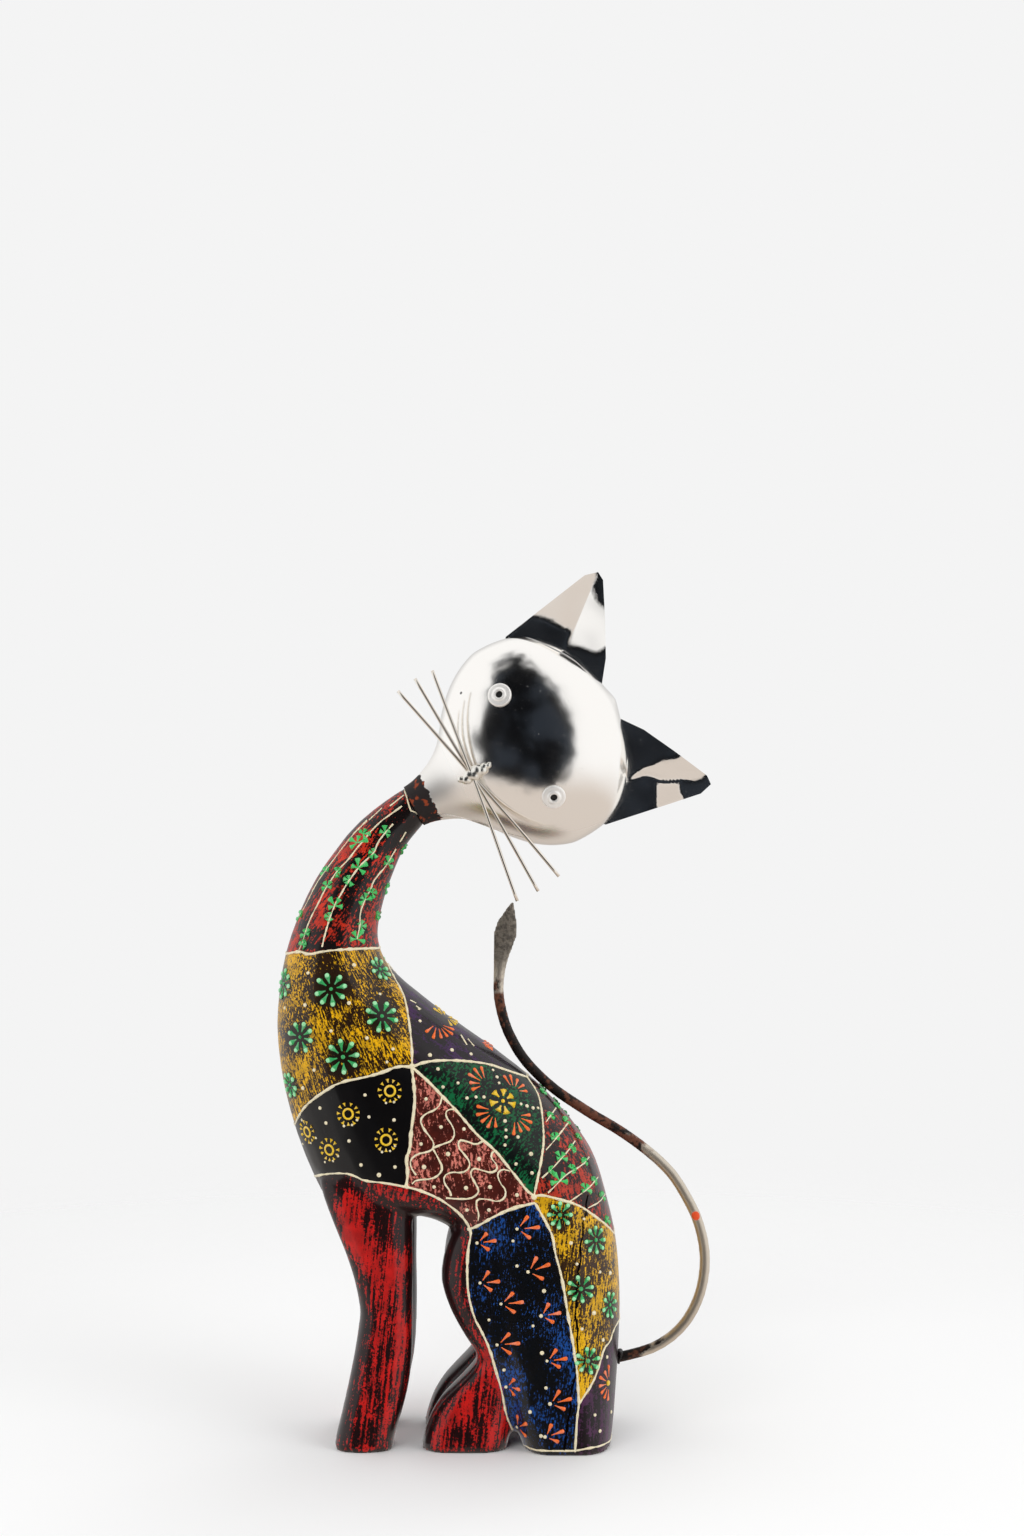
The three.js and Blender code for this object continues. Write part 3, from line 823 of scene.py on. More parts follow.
# %% Wandering lines on the ribs
MEANDERS = [
    [(442, 1097), (440, 1105), (435, 1110), (425, 1114), (420, 1120), (423, 1128), (430, 1137),
     (434, 1143), (433, 1149), (428, 1152), (417, 1154), (410, 1160), (411, 1168), (416, 1175)],
    [(433, 1149), (437, 1156), (443, 1168), (439, 1175), (432, 1179), (416, 1180), (412, 1184)],
    [(433, 1148), (443, 1144), (452, 1141), (455, 1133), (452, 1125), (446, 1117), (446, 1111),
     (451, 1109), (456, 1110)],
    [(483, 1141), (476, 1145), (466, 1141), (459, 1140), (458, 1147), (464, 1154), (470, 1162),
     (469, 1169), (462, 1173), (451, 1172), (444, 1176), (444, 1183), (450, 1191), (451, 1196)],
    [(497, 1151), (492, 1152), (491, 1158), (497, 1165), (497, 1170), (491, 1173), (481, 1170),
     (473, 1168), (470, 1174), (475, 1183), (479, 1190), (477, 1195), (470, 1199), (456, 1199),
     (446, 1198)],
    [(510, 1171), (502, 1169), (497, 1174), (500, 1183), (506, 1190), (505, 1198), (498, 1202),
     (487, 1199), (477, 1199), (476, 1206), (479, 1214), (478, 1221)],
]
LOOP_DOTS = [
    (426, 1099), (441, 1127), (464, 1129), (421, 1144), (448, 1154), (479, 1159), (424, 1167),
    (434, 1187), (466, 1188), (490, 1187), (517, 1195), (467, 1210), (489, 1210),
]
for meander in MEANDERS:
    line(meander, 0.6)
for px, py in LOOP_DOTS:
    dot(px, py, 0.95)
print("wandering lines:", len(MEANDERS), "dots in their loops:", len(LOOP_DOTS))

# %% [markdown]
# Thin vines with green leaves climb the neck and cross the loin. Each cluster of leaves is four short
# petals that spread from one place on the vine.

# %% Vines
LEAVES = 4
LEAF_SPREAD = 1.15
NECK_VINES = [
    [(299, 950), (303, 941), (307, 927), (312, 915), (319, 902), (324, 891), (330, 882), (337, 871),
     (349, 859), (356, 849), (365, 839), (370, 832), (381, 821), (391, 814), (402, 806)],
    [(322, 947), (325, 934), (330, 917), (336, 902), (340, 896), (346, 885), (351, 878), (358, 868),
     (367, 859), (374, 853), (378, 842), (385, 833), (393, 824)],
    [(357, 939), (360, 926), (360, 913), (365, 899), (371, 889), (373, 882), (379, 874), (386, 866),
     (390, 859), (396, 849)],
    [(290, 935), (296, 920), (304, 909), (316, 884), (326, 870), (346, 843), (357, 830), (367, 821)],
    [(400, 842), (406, 832)], [(390, 806), (404, 795)], [(369, 820), (382, 808)], [(358, 830), (367, 820)],
]
NECK_LEAVES = [
    (357, 843, 120, 4.2), (327, 887, 100, 2.8), (306, 934, 100, 2.8), (335, 906, 95, 4.0),
    (358, 868, 60, 4.0), (385, 833, 60, 3.0), (357, 939, 80, 4.0), (365, 900, 110, 3.0),
    (372, 893, 40, 2.8), (388, 864, 70, 3.2), (300, 916, 110, 2.8), (325, 871, 120, 2.8),
    (403, 850, 70, 2.8), (386, 889, 60, 2.8), (377, 917, 80, 2.6), (330, 917, 200, 2.4),
    (349, 880, 200, 2.6), (363, 834, 40, 3.0), (374, 853, 200, 2.6), (303, 945, 60, 2.4),
    (361, 926, 30, 2.6), (337, 872, 20, 2.4),
]
LOIN_VINES = [
    [(546, 1122), (551, 1115), (556, 1108)],
    [(546, 1150), (554, 1141), (562, 1131), (568, 1123)],
    [(542, 1178), (552, 1169), (560, 1160), (568, 1151), (575, 1141)],
    [(548, 1193), (558, 1183), (565, 1175), (583, 1165), (589, 1157)],
    [(569, 1202), (581, 1194), (590, 1187), (598, 1177)],
    [(588, 1208), (600, 1202), (605, 1194)],
]
LOIN_LEAVES = [
    (550, 1116, 60, 2.6), (555, 1138, 80, 3.0), (566, 1121, 60, 3.0), (561, 1158, 80, 3.4),
    (560, 1181, 90, 4.4), (584, 1162, 60, 3.0), (586, 1190, 80, 3.4), (602, 1196, 60, 3.0),
    (607, 1221, 80, 3.0), (578, 1137, 60, 2.6), (543, 1092, 60, 2.6), (557, 1106, 50, 2.6),
    (572, 1149, 30, 2.6), (552, 1170, 200, 2.4), (572, 1169, 20, 2.6), (594, 1181, 40, 2.4),
]


def leafy(vines, width, clusters, growth):
    """Vines of one width, with leaves that point away from them."""
    for vine in vines:
        line(vine, width)
    for px, py, degrees, size in clusters:
        centre = touch(px, py)
        for i in range(LEAVES if centre else 0):
            angle = math.radians(degrees) + (i - (LEAVES - 1) / 2) * LEAF_SPREAD
            petal(centre, angle, 0.2, size * growth * rng.uniform(0.75, 1.15), 1.5, "leaf_green")


leafy(NECK_VINES, 0.56, NECK_LEAVES, 1.2)
leafy(LOIN_VINES, 0.5, LOIN_LEAVES, 1.0)
print("strokes:", {colour: len(strokes_of) for colour, strokes_of in laid.items()})

# %% [markdown]
# All strokes of one colour become one curve object, which Blender turns into tubes with round ends. Dots
# are small flattened balls in the same mesh. Paint that ran under the soles was rubbed off, so nothing
# goes below the floor.


# %% Turn the strokes into meshes
def tubes(strokes, sides):
    """A bmesh of tubes along strokes, each a list of places and radii that may be closed."""
    curve = bpy.data.curves.new("strokes", "CURVE")
    curve.dimensions = "3D"
    curve.bevel_depth = MM
    curve.bevel_resolution = sides
    curve.use_fill_caps = True
    for stroke, closed in strokes:
        spline = curve.splines.new("POLY")
        spline.points.add(len(stroke) - 1)
        spline.use_cyclic_u = closed
        for point, (place, radius) in zip(spline.points, stroke):
            point.co = (*place, 1.0)
            point.radius = radius / MM
    holder = bpy.data.objects.new("strokes", curve)
    bpy.context.collection.objects.link(holder)
    shown = holder.evaluated_get(bpy.context.evaluated_depsgraph_get())
    mesh = bpy.data.meshes.new_from_object(shown)
    bm = bmesh.new()
    bm.from_mesh(mesh)
    bpy.data.objects.remove(holder)
    bpy.data.curves.remove(curve)
    bpy.data.meshes.remove(mesh)
    return bm


DOT_HEIGHT = 0.65                    # a dot's height as a share of its radius
raised = {}
for colour, strokes in laid.items():
    bm = tubes(strokes, 2)
    for place, normal, size in beads[colour]:
        matrix = Matrix.Translation(place) @ turned_to(normal) @ Matrix.Diagonal((1, 1, DOT_HEIGHT, 1))
        bmesh.ops.create_icosphere(bm, subdivisions=2, radius=size, matrix=matrix)
    bmesh.ops.recalc_face_normals(bm, faces=bm.faces)
    for vertex in bm.verts:
        vertex.co.z = max(vertex.co.z, 0.0)
    raised[colour] = object_from("raised_" + colour, bm)
print("faces:", {colour: len(piece.data.polygons) for colour, piece in raised.items()})

# %% [markdown]
# ## Finish of the wood
# Attributes carry the painter's choices to the shader: the ground colour, the top colour, how much of the
# top coat is left, coordinates that follow the brush, and the dark grounds of the flowers.

# %% Attributes on the wood
HALO_REACH = 1.5                     # in sizes of the flower
halo = np.zeros(len(points))
for centre, reach in halos:
    for middle in (centre, mirrored(centre)):
        away = np.linalg.norm(points - np.array(middle), axis=1) / reach
        halo = np.maximum(halo, np.clip(HALO_REACH - away, 0, 1))
write_attribute(wood.data, "ground", "FLOAT_COLOR", ground)
write_attribute(wood.data, "topcoat", "FLOAT_COLOR", topcoat)
write_attribute(wood.data, "brushed", "FLOAT_VECTOR", brushed)
write_attribute(wood.data, "cover", "FLOAT", cover)
write_attribute(wood.data, "halo", "FLOAT", halo)
print("attributes:", [layer.name for layer in wood.data.attributes if not layer.is_internal])

# %% [markdown]
# Three noises are added up: fine marks that follow the brush, broad patches of wear and a grit. Where the
# sum is above what the top coat lacks there, the top coat shows, and elsewhere the ground does. A coat
# layer is the gloss varnish, worn duller in places.

# %% Varnished paint
BLACKENED = (0.004, 0.003, 0.003, 1)
varnished = Finish("varnished_paint", Coat_Roughness=0.12, Coat_IOR=1.5, Specular_IOR_Level=0.2)
under = varnished.attribute("ground", "Color")
over = varnished.attribute("topcoat", "Color")
around_flower = varnished.attribute("halo", "Fac")
place = varnished.place()
fine = varnished.cloud(varnished.attribute("brushed"), 1.0, 4.0, 0.6)
broad = varnished.cloud(place, 45.0, 3.0)
grit = varnished.cloud(place, 1000.0, 3.0, 0.7)
left = varnished.attribute("cover", "Fac") - around_flower * 0.09
worn = (fine * 0.45 + broad * 0.35 + grit * 0.3 - (1.05 - left)).ramp(-0.015, 0.025)
shade = varnished.cloud(place, 160.0, 4.0).ramp(0.35, 0.7)
over = varnished.mix(shade * 0.4, over, under)
under = varnished.mix(shade * 0.5, under, BLACKENED)
under = varnished.mix(around_flower.ramp(0.5, 1.0) * 0.6, under, paint(0.04, 0.07, 0.03))
varnished.feed(
    Base_Color=varnished.mix(worn, under, over),
    Roughness=worn * 0.15 + 0.4,
    Coat_Weight=0.55 - broad * 0.3,
    Normal=varnished.bump(worn * 0.6 + fine * 0.4, 0.3, 0.4 * MM),
)
dress(wood, varnished.material, "painted_wood", "carved_body")

# %% [markdown]
# The squeezed paint is glossy, with dirt in its hollows and paler places where it was thick. The crack's
# black line is the painted shadow inside an open split, without any gloss.


# %% Finish of the raised paint
def raised_finish(colour):
    """Glossy squeezed paint, a little darker and dirtier in its hollows."""
    finish = Finish("paint_" + colour, Coat_Roughness=0.12)
    dirt = finish.cloud(finish.place(), 900.0, 3.0)
    pale = finish.cloud(finish.place(), 260.0, 2.0)
    base = COLOURS[colour]
    dark = tuple(v * 0.45 for v in base[:3]) + (1.0,)
    light = tuple(v * 0.85 + 0.10 for v in base[:3]) + (1.0,)
    colour_here = finish.mix(pale.ramp(0.45, 0.7), finish.mix(dirt.ramp(0.5, 0.75) * 0.6, base, dark), light)
    return finish.feed(
        Base_Color=colour_here,
        Roughness=dirt * 0.3 + 0.3,
        Coat_Weight=0.7 - dirt * 0.4,
        Normal=finish.bump(dirt, 0.25, 0.2 * MM),
    )


crack = COLOURS["crack_shadow_black"]
crack_shadow = Finish("crack_shadow", Base_Color=crack, Roughness=1.0, Specular_IOR_Level=0.0).material
for colour, piece in raised.items():
    finish = crack_shadow if colour == "crack_shadow_black" else raised_finish(colour)
    dress(piece, finish, "painted_wood")

# %% [markdown]
# ## The sheet-metal head
# The head was pressed from thin sheet, front and back, and joined at its widest line. A plated surface
# shows every flat spot, so the facets of the solid will not do. Its rings are read back from the frame, a
# smooth curve is run through them, and the head is bridged from many round sections.

# %% Read the head's rings
HEAD_TILT = math.radians(28)
NECK_END = Vector((-0.0372, 0, 0.2913))
SLEEVE_RADIUS = 9 * MM
SLEEVE_DEPTH = 10 * MM
head_frame = Matrix.Translation(NECK_END) @ Matrix.Rotation(-HEAD_TILT, 4, "Y")
head_inverse = head_frame.inverted()
rings = {}
bm = copy_of("head_shell")
for vertex in bm.verts:
    local = head_inverse @ vertex.co
    in_sleeve = math.hypot(local.y, local.z) < SLEEVE_RADIUS + 0.2 * MM
    if in_sleeve and local.x < SLEEVE_DEPTH + MM:
        continue
    key = round(local.x / MM, 1)
    wide, deep = rings.get(key, (0.0, 0.0))
    rings[key] = (max(wide, abs(local.z)), max(deep, abs(local.y)))
bm.free()
alongs = sorted(rings)
wides = [rings[key][0] for key in alongs]
deeps = [rings[key][1] for key in alongs]
print("rings:", len(alongs), "widest:", round(max(wides) / MM, 1), "deepest:", round(max(deeps) / MM, 1))

# %% [markdown]
# The sections are unit circles that a matrix stretches and sets across the head. They lie closer together
# towards the crown, where the sheet turns over, and start inside the sleeve, so that its wall has an
# inside. Neighbours are bridged, both ends are closed, and slow noise gives the hand-beaten dents.


# %% Curve and sections of the head
def eased_course(xs, ys, x):
    """A smooth curve through points, read at x."""
    i = min(max(int(np.searchsorted(xs, x)) - 1, 0), len(xs) - 2)
    before, after = max(i - 1, 0), min(i + 2, len(xs) - 1)
    width = xs[i + 1] - xs[i]
    t = (x - xs[i]) / width
    rise_in = (ys[i + 1] - ys[before]) / (xs[i + 1] - xs[before]) * width
    rise_out = (ys[after] - ys[i]) / (xs[after] - xs[i]) * width
    a = 2 * t ** 3 - 3 * t ** 2 + 1
    b = t ** 3 - 2 * t ** 2 + t
    c = -2 * t ** 3 + 3 * t ** 2
    d = t ** 3 - t ** 2
    return a * ys[i] + b * rise_in + c * ys[i + 1] + d * rise_out


def circle_edges(bm, matrix, sides):
    """A new round section and its edges."""
    verts = bmesh.ops.create_circle(bm, segments=sides, radius=1.0, matrix=matrix)["verts"]
    return verts, list({edge for vert in verts for edge in vert.link_edges})


def section(along, wide, deep):
    """The matrix that puts a unit circle across the head at a place along it."""
    stand = Matrix.Rotation(math.radians(90), 4, "Y")
    return head_frame @ Matrix.Translation((along, 0, 0)) @ Matrix.Diagonal((1, deep, wide, 1)) @ stand


print("half width at 50 mm:", round(eased_course(alongs, wides, 50.0) / MM, 1), "mm")

# %% Build the smooth head
HEAD_SIDES = 112
HEAD_RINGS = 84
CROWDED = 0.65                       # share of the spacing that crowds towards the crown
THINNEST_SECTION = 0.5 * MM
DENTS, FINE_DENTS = 38, 110          # to a metre
crown = alongs[-1] * MM
sections = [(SLEEVE_DEPTH, SLEEVE_RADIUS, SLEEVE_RADIUS), (0.0, SLEEVE_RADIUS, SLEEVE_RADIUS)]
for i in range(HEAD_RINGS + 1):
    turn = (i / HEAD_RINGS) * math.pi / 2
    along = crown * ((1 - CROWDED) * i / HEAD_RINGS + CROWDED * math.sin(turn))
    shape = (eased_course(alongs, values, along / MM) for values in (wides, deeps))
    wide, deep = (max(value, THINNEST_SECTION) for value in shape)
    sections.append((along, wide, deep))
bm = bmesh.new()
chain = [circle_edges(bm, section(*one), HEAD_SIDES) for one in sections]
for (_, first), (_, second) in zip(chain, chain[1:]):
    bmesh.ops.bridge_loops(bm, edges=[*first, *second])
for verts, _ in (chain[0], chain[-1]):
    middle = sum((vert.co for vert in verts), Vector()) / len(verts)
    bmesh.ops.pointmerge(bm, verts=verts, merge_co=middle)
bmesh.ops.recalc_face_normals(bm, faces=bm.faces)
for vertex in bm.verts:
    dent = noise.noise(vertex.co * DENTS) * 0.35 + noise.noise(vertex.co * FINE_DENTS) * 0.07
    vertex.co += vertex.normal * dent * MM * 0.5
head = object_from("plated_head", bm)
head_tree = tree_of(head.data)
write_attribute(head.data, "underside", "FLOAT", eased(-read_points(head.data, "normal")[:, 2], 0.45, 0.85))
write_attribute(head.data, "along", "FLOAT", [(head_inverse @ v.co).x / MM for v in head.data.vertices])
print("head:", len(head.data.vertices), "points")

# %% [markdown]
# ## Plating
# The plating is bright but not a mirror: it is clouded, with tiny pits. All the metal pieces share it,
# each with its own tint and dullness.


# %% Plated metal
def plated(name, tint, rough, pits=0.25, **constants):
    """Bright plating with a slight cloud and fine pits."""
    finish = Finish(name, **constants)
    place = finish.place()
    clouds = finish.cloud(place, 60.0, 5.0)
    specks = finish.cloud(place, 1200.0, 2.0).ramp(0.70, 0.80)
    finish.clouds, finish.specks = clouds, specks
    finish.base = finish.mix(specks * pits, tint, (0.35, 0.33, 0.30, 1))
    finish.rough = clouds * 0.10 + specks * 0.15 + (rough - 0.05)
    finish.relief = clouds * 0.5 - specks * 0.12 + finish.cloud(place, 320.0, 2.0) * 0.06
    return finish


SILVER = paint(0.985, 0.975, 0.96)
print("silver in linear light:", [round(value, 3) for value in SILVER[:3]])

# %% [markdown]
# On the head, the paint of the neck runs on over the sleeve and ends in a jagged edge, so one mask turns
# metal into paint there. The plating is duller beside the collar and below, and a punch left one dimple.

# %% Finish of the head
PAINT_END = 9.2                      # millimetres along the head
JAG = 5
DIMPLE_AT = (461, 693)
head_plating = plated("head_plating", SILVER, 0.14)
place = head_plating.place()
along = head_plating.attribute("along", "Fac")
jagged = head_plating.cloud(place, 420.0, 2.0) * JAG - JAG / 2
painted = (PAINT_END + jagged - along).ramp(-0.15, 0.15)
dimple_spot, _, _, _ = head_tree.ray_cast(CAMERA_SPOT, way(*DIMPLE_AT))
dimple = 1 - head_plating.away_from(dimple_spot).ramp(0.3 * MM, 0.9 * MM)
rusty = head_plating.cloud(place, 230.0, 3.0).ramp(0.55, 0.62)
collar = head_plating.mix(rusty, paint(0.12, 0.09, 0.09), paint(0.55, 0.22, 0.08))
dulled = (1 - along.ramp(12.0, 32.0)) * 0.4 + head_plating.attribute("underside", "Fac") * 0.22
head_plating.feed(
    Base_Color=head_plating.mix(painted, head_plating.mix(dimple, head_plating.base, collar), collar),
    Roughness=head_plating.rough + painted * 0.2 + dulled,
    Metallic=(1 - painted) * (1 - head_plating.specks * 0.25),
    Normal=head_plating.bump(head_plating.relief + painted * 0.5 - dimple, 0.25, 0.6 * MM),
)
dress(head, head_plating.material, "plated_metal", "head_shell")

# %% [markdown]
# ## Ears
# Each ear is a folded triangle of sheet. Where it was beaten to meet the dome, and again at its tip, the
# sheet turns to face the viewer, so those parts mirror the dark gap. Others lean down and mirror the warm
# floor. The turns are far too small to model as a shape. They are stored as a direction for each corner
# of each face. Their outlines are in pixels of the photograph.

# %% Where the ears' sheet turns
TO_VIEWER = Vector((-0.04, 1.0, 0.10))
TO_FLOOR = Vector((0.30, 1.0, -0.45))
BLUR = 2.0
BLUR_DIRECTIONS = 6
LOWER_SHINE = [
    [(628, 776), (640, 767), (660, 762), (700, 772), (706, 779), (628, 779)],
    [(657, 782), (683, 782), (689, 800), (654, 808)],
]
UPPER_BENDS = [
    [(505, 640), (532, 613), (550, 619), (571, 628), (567, 650), (590, 690)],
    [(567, 646), (601, 653), (612, 640), (612, 700), (590, 700), (566, 652)],
    [(592, 588), (597, 560), (620, 560), (620, 606), (603, 601)],
]
LOWER_BENDS = [
    [(615, 700), (640, 716), (682, 753), (660, 762), (630, 774), (610, 776)],
    [(612, 781), (656, 779), (654, 805), (640, 830), (600, 830)],
    [(683, 781), (703, 781), (709, 770), (730, 780), (730, 810), (686, 800)],
]


def soft_inside(outlines, px, py):
    """How far inside any of some outlines, from 0 to 1, over a soft edge."""
    total = np.zeros(len(px))
    steps = [(angle, reach) for reach in (0, BLUR, BLUR * 2) for angle in range(BLUR_DIRECTIONS)]
    for angle, reach in steps:
        hit = np.zeros(len(px), bool)
        for outline in outlines:
            hit |= inside(outline, px + math.cos(angle) * reach, py + math.sin(angle) * reach)
        total += hit
    return total / len(steps)


print("at an outline's corner:", soft_inside(UPPER_BENDS[:1], np.array([532.0]), np.array([613.0]))[0])

# %% Ears
EAR_EDGE = 1.2 * MM
EAR_ROUNDS = 5
WAVES = 90                           # waves of the sheet to a metre
EDGE_WAVER = 6                       # pixels by which they move an outline
ear_plating = plated("ear_plating", SILVER, 0.18)
ear_plating.feed(
    Base_Color=ear_plating.base,
    Roughness=ear_plating.rough,
    Metallic=1 - ear_plating.specks * 0.2,
    Normal=ear_plating.attribute("facing"),
)
for node, bends, shine in [
    ("ear_upper", UPPER_BENDS, []), ("ear_lower", LOWER_BENDS, LOWER_SHINE),
]:
    bm = copy_of(node)
    bmesh.ops.dissolve_limit(bm, angle_limit=math.radians(2), verts=bm.verts, edges=bm.edges)
    bmesh.ops.triangulate(bm, faces=bm.faces)
    for _ in range(EAR_ROUNDS):
        long_edges = [edge for edge in bm.edges if edge.calc_length() > EAR_EDGE]
        bmesh.ops.subdivide_edges(bm, edges=long_edges, cuts=1)
        bmesh.ops.triangulate(bm, faces=bm.faces)
    bmesh.ops.recalc_face_normals(bm, faces=bm.faces)
    piece = object_from("plated_" + node, bm, smooth=False)
    mesh = piece.data
    corners = np.array([mesh.vertices[loop.vertex_index].co for loop in mesh.loops])
    facing = np.array([polygon.normal for polygon in mesh.polygons for _ in polygon.loop_indices])
    ear_x, ear_y = pixels(corners)
    waver = np.array([noise.noise_vector(Vector(corner) * WAVES) for corner in corners])
    ear_x += waver[:, 0] * EDGE_WAVER
    ear_y += waver[:, 1] * EDGE_WAVER
    broad_face = np.abs(facing[:, 1]) > 0.3
    for outlines, target in [(shine, TO_FLOOR), (bends, TO_VIEWER)]:
        share = soft_inside(outlines, ear_x, ear_y) * broad_face
        goal = np.array(target.normalized()) * np.array([(1, y, 1) for y in np.sign(facing[:, 1])])
        facing = facing * (1 - share[:, None]) + goal * share[:, None]
    facing += waver * 0.035
    facing /= np.linalg.norm(facing, axis=1)[:, None]
    write_attribute(mesh, "facing", "FLOAT_VECTOR", facing, "CORNER")
    dress(piece, ear_plating.material, "plated_metal", node)

# %% [markdown]
# The sheet is turned over along the crown, and it shows as a thin rim between the dome and the ears.

# %% Rim of the sheet
RIMS = [
    [(514, 635), (526, 637), (537, 641), (548, 646), (558, 651), (569, 657), (579, 664), (592, 678)],
    [(622, 722), (627, 738), (628, 752), (627, 766), (627, 780), (625, 792), (621, 803)],
    [(437, 814), (450, 815), (464, 818), (478, 822), (492, 828), (510, 834), (530, 839)],
]
RIM_THICK = 0.45 * MM
RIM_ENDS = 0.35                      # share of its thickness that is left at both ends
rims = []
for rim in RIMS:
    found = [head_tree.ray_cast(CAMERA_SPOT, way(px, py)) for px, py in smooth_line(rim)]
    spots = [spot for spot, _, _, _ in found if spot]
    for side in (spots, [mirrored(spot) for spot in spots]):
        stroke = []
        for i, spot in enumerate(side):
            place, normal, _, _ = head_tree.find_nearest(spot)
            swell = RIM_ENDS + (1 - RIM_ENDS) * math.sin(math.pi * i / (len(side) - 1))
            stroke.append((place - normal * 0.1 * MM, RIM_THICK * swell))
        rims.append((stroke, False))
bm = tubes(rims, 4)
bmesh.ops.recalc_face_normals(bm, faces=bm.faces)
rim_plating = plated("rim_plating", SILVER, 0.26, Metallic=1.0)
rim_plating.feed(Base_Color=rim_plating.base, Roughness=rim_plating.rough)
dress(object_from("sheet_rim", bm), rim_plating.material, "plated_metal")

# %% [markdown]
# ## Eyes
# Each eye is a domed washer held by a hollow rivet, and a near-black disc in it is the painted shadow of the
# hollow.
# Half a profile, in millimetres from the axis and from the face, is spun round the eye's axis, which stands
# square on the face.

# %% Eyes
EYE_PROFILE = [
    (1.6, 0.1), (5.5, 0.0), (5.5, 0.35), (5.35, 0.7), (5.0, 0.95), (4.5, 1.08), (3.9, 1.05), (3.4, 1.1),
    (3.1, 1.35), (2.8, 1.65), (2.4, 1.85), (2.0, 1.85), (1.75, 1.7), (1.6, 1.4), (1.6, 0.4), (1.6, 0.1),
]
HOLE_SHADOW_RADIUS = 1.65 * MM
HOLE_SHADOW_HEIGHT = 0.6 * MM
EYE_LIFT = 0.2 * MM                  # solder under the washer
eye_plating = plated("eye_plating", SILVER, 0.45, Metallic=0.6)
eye_plating.feed(Base_Color=eye_plating.base, Roughness=eye_plating.rough)
# Painted shadow: a near-black disc low in the rivet stands for the shade inside its hollow.
hole_shadow = Finish("hole_shadow", Base_Color=(0.01, 0.01, 0.01, 1), Roughness=0.6).material
for node in ("eye_upper", "eye_lower"):
    low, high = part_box(node)
    spot, normal, _, _ = head_tree.find_nearest((low + high) / 2)
    bm = bmesh.new()
    verts = [bm.verts.new((x * MM, 0, z * MM)) for x, z in EYE_PROFILE[:-1]]
    edges = [bm.edges.new((a, b)) for a, b in zip(verts, [*verts[1:], verts[0]])]
    bmesh.ops.spin(
        bm, geom=[*verts, *edges], cent=(0, 0, 0), axis=(0, 0, 1), angle=math.tau, steps=48, use_merge=True,
        use_duplicate=False,
    )
    floor_of_hole = Matrix.Translation((0, 0, HOLE_SHADOW_HEIGHT))
    bmesh.ops.create_circle(bm, cap_ends=True, segments=24, radius=HOLE_SHADOW_RADIUS, matrix=floor_of_hole)
    for face in bm.faces:
        face.material_index = 1 if len(face.verts) > 4 else 0
    stand = Matrix.Translation(spot + normal * EYE_LIFT) @ turned_to(normal)
    bmesh.ops.transform(bm, matrix=stand, verts=bm.verts)
    piece = object_from("washer_" + node, bm)
    dress(piece, [eye_plating.material, hole_shadow], "plated_metal", node)

# %% [markdown]
# ## Whiskers and solder
# The whiskers are straight pieces of wire that cross on the muzzle, under a lump of solder that also makes
# the nose. Each wire runs between the opposite corners of its solid's box, and is bowed a little, as wire
# from a coil is.

# %% Whiskers
WIRE_RADIUS = 0.78 * MM
WIRE_CUTS = 24
BOW, WOBBLE = 0.5, 0.12              # millimetres
wire_metal = plated("wire_metal", paint(0.93, 0.90, 0.86), 0.09, Metallic=1.0)
wire_metal.feed(Base_Color=wire_metal.base, Roughness=wire_metal.rough)
for number in (1, 2, 3):
    low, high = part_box(f"whisker_{number}")
    depth = (low.y + high.y) / 2
    start = Vector((low.x + WIRE_RADIUS * 0.6, depth, high.z - WIRE_RADIUS * 0.6))
    end = Vector((high.x - WIRE_RADIUS * 0.6, depth, low.z + WIRE_RADIUS * 0.6))
    length = (end - start).length
    direction = (end - start).normalized()
    bm = bmesh.new()
    bmesh.ops.create_cone(
        bm, cap_ends=True, segments=14, radius1=WIRE_RADIUS, radius2=WIRE_RADIUS, depth=length,
        matrix=Matrix.Translation((start + end) / 2) @ turned_to(direction),
    )
    long_edges = [edge for edge in bm.edges if edge.calc_length() > length / 2]
    bmesh.ops.subdivide_edges(bm, edges=long_edges, cuts=WIRE_CUTS)
    for vertex in bm.verts:
        run = (vertex.co - start).dot(direction) / length
        bow = math.sin(run * math.pi) * BOW + math.sin(run * 9 + number) * WOBBLE
        vertex.co.x += bow * MM
    bmesh.ops.recalc_face_normals(bm, faces=bm.faces)
    dress(object_from(f"wire_{number}", bm), wire_metal.material, "wire", f"whisker_{number}")

# %% [markdown]
# Solder ran together from several drops. Balls of different sizes are laid close beside each other, in
# millimetres along and across the head, and a fine remesh melts them into one lump.

# %% Solder
LUMP_VOXEL = 0.35 * MM
SOLDER_DROPS = [
    (-7.2, 0.6, 1.5), (-5.2, -0.7, 2.0), (-3.0, 0.5, 2.2), (-1.0, -0.6, 2.5), (1.2, 0.5, 2.6),
    (3.2, -0.4, 2.1), (5.0, 0.8, 1.6), (6.6, 0.2, 1.2), (7.6, 0.9, 0.8), (0.2, 1.6, 1.8),
    (-4.4, -1.8, 1.3),
]
SWELL = 1.12                         # what the smoothing takes off a ball


def lump(name, drops, rounds):
    """A melted lump from a handful of balls."""
    bm = bmesh.new()
    for place, size in drops:
        bmesh.ops.create_icosphere(bm, subdivisions=3, radius=size, matrix=Matrix.Translation(place))
    return remeshed(object_from(name, bm), LUMP_VOXEL, rounds)


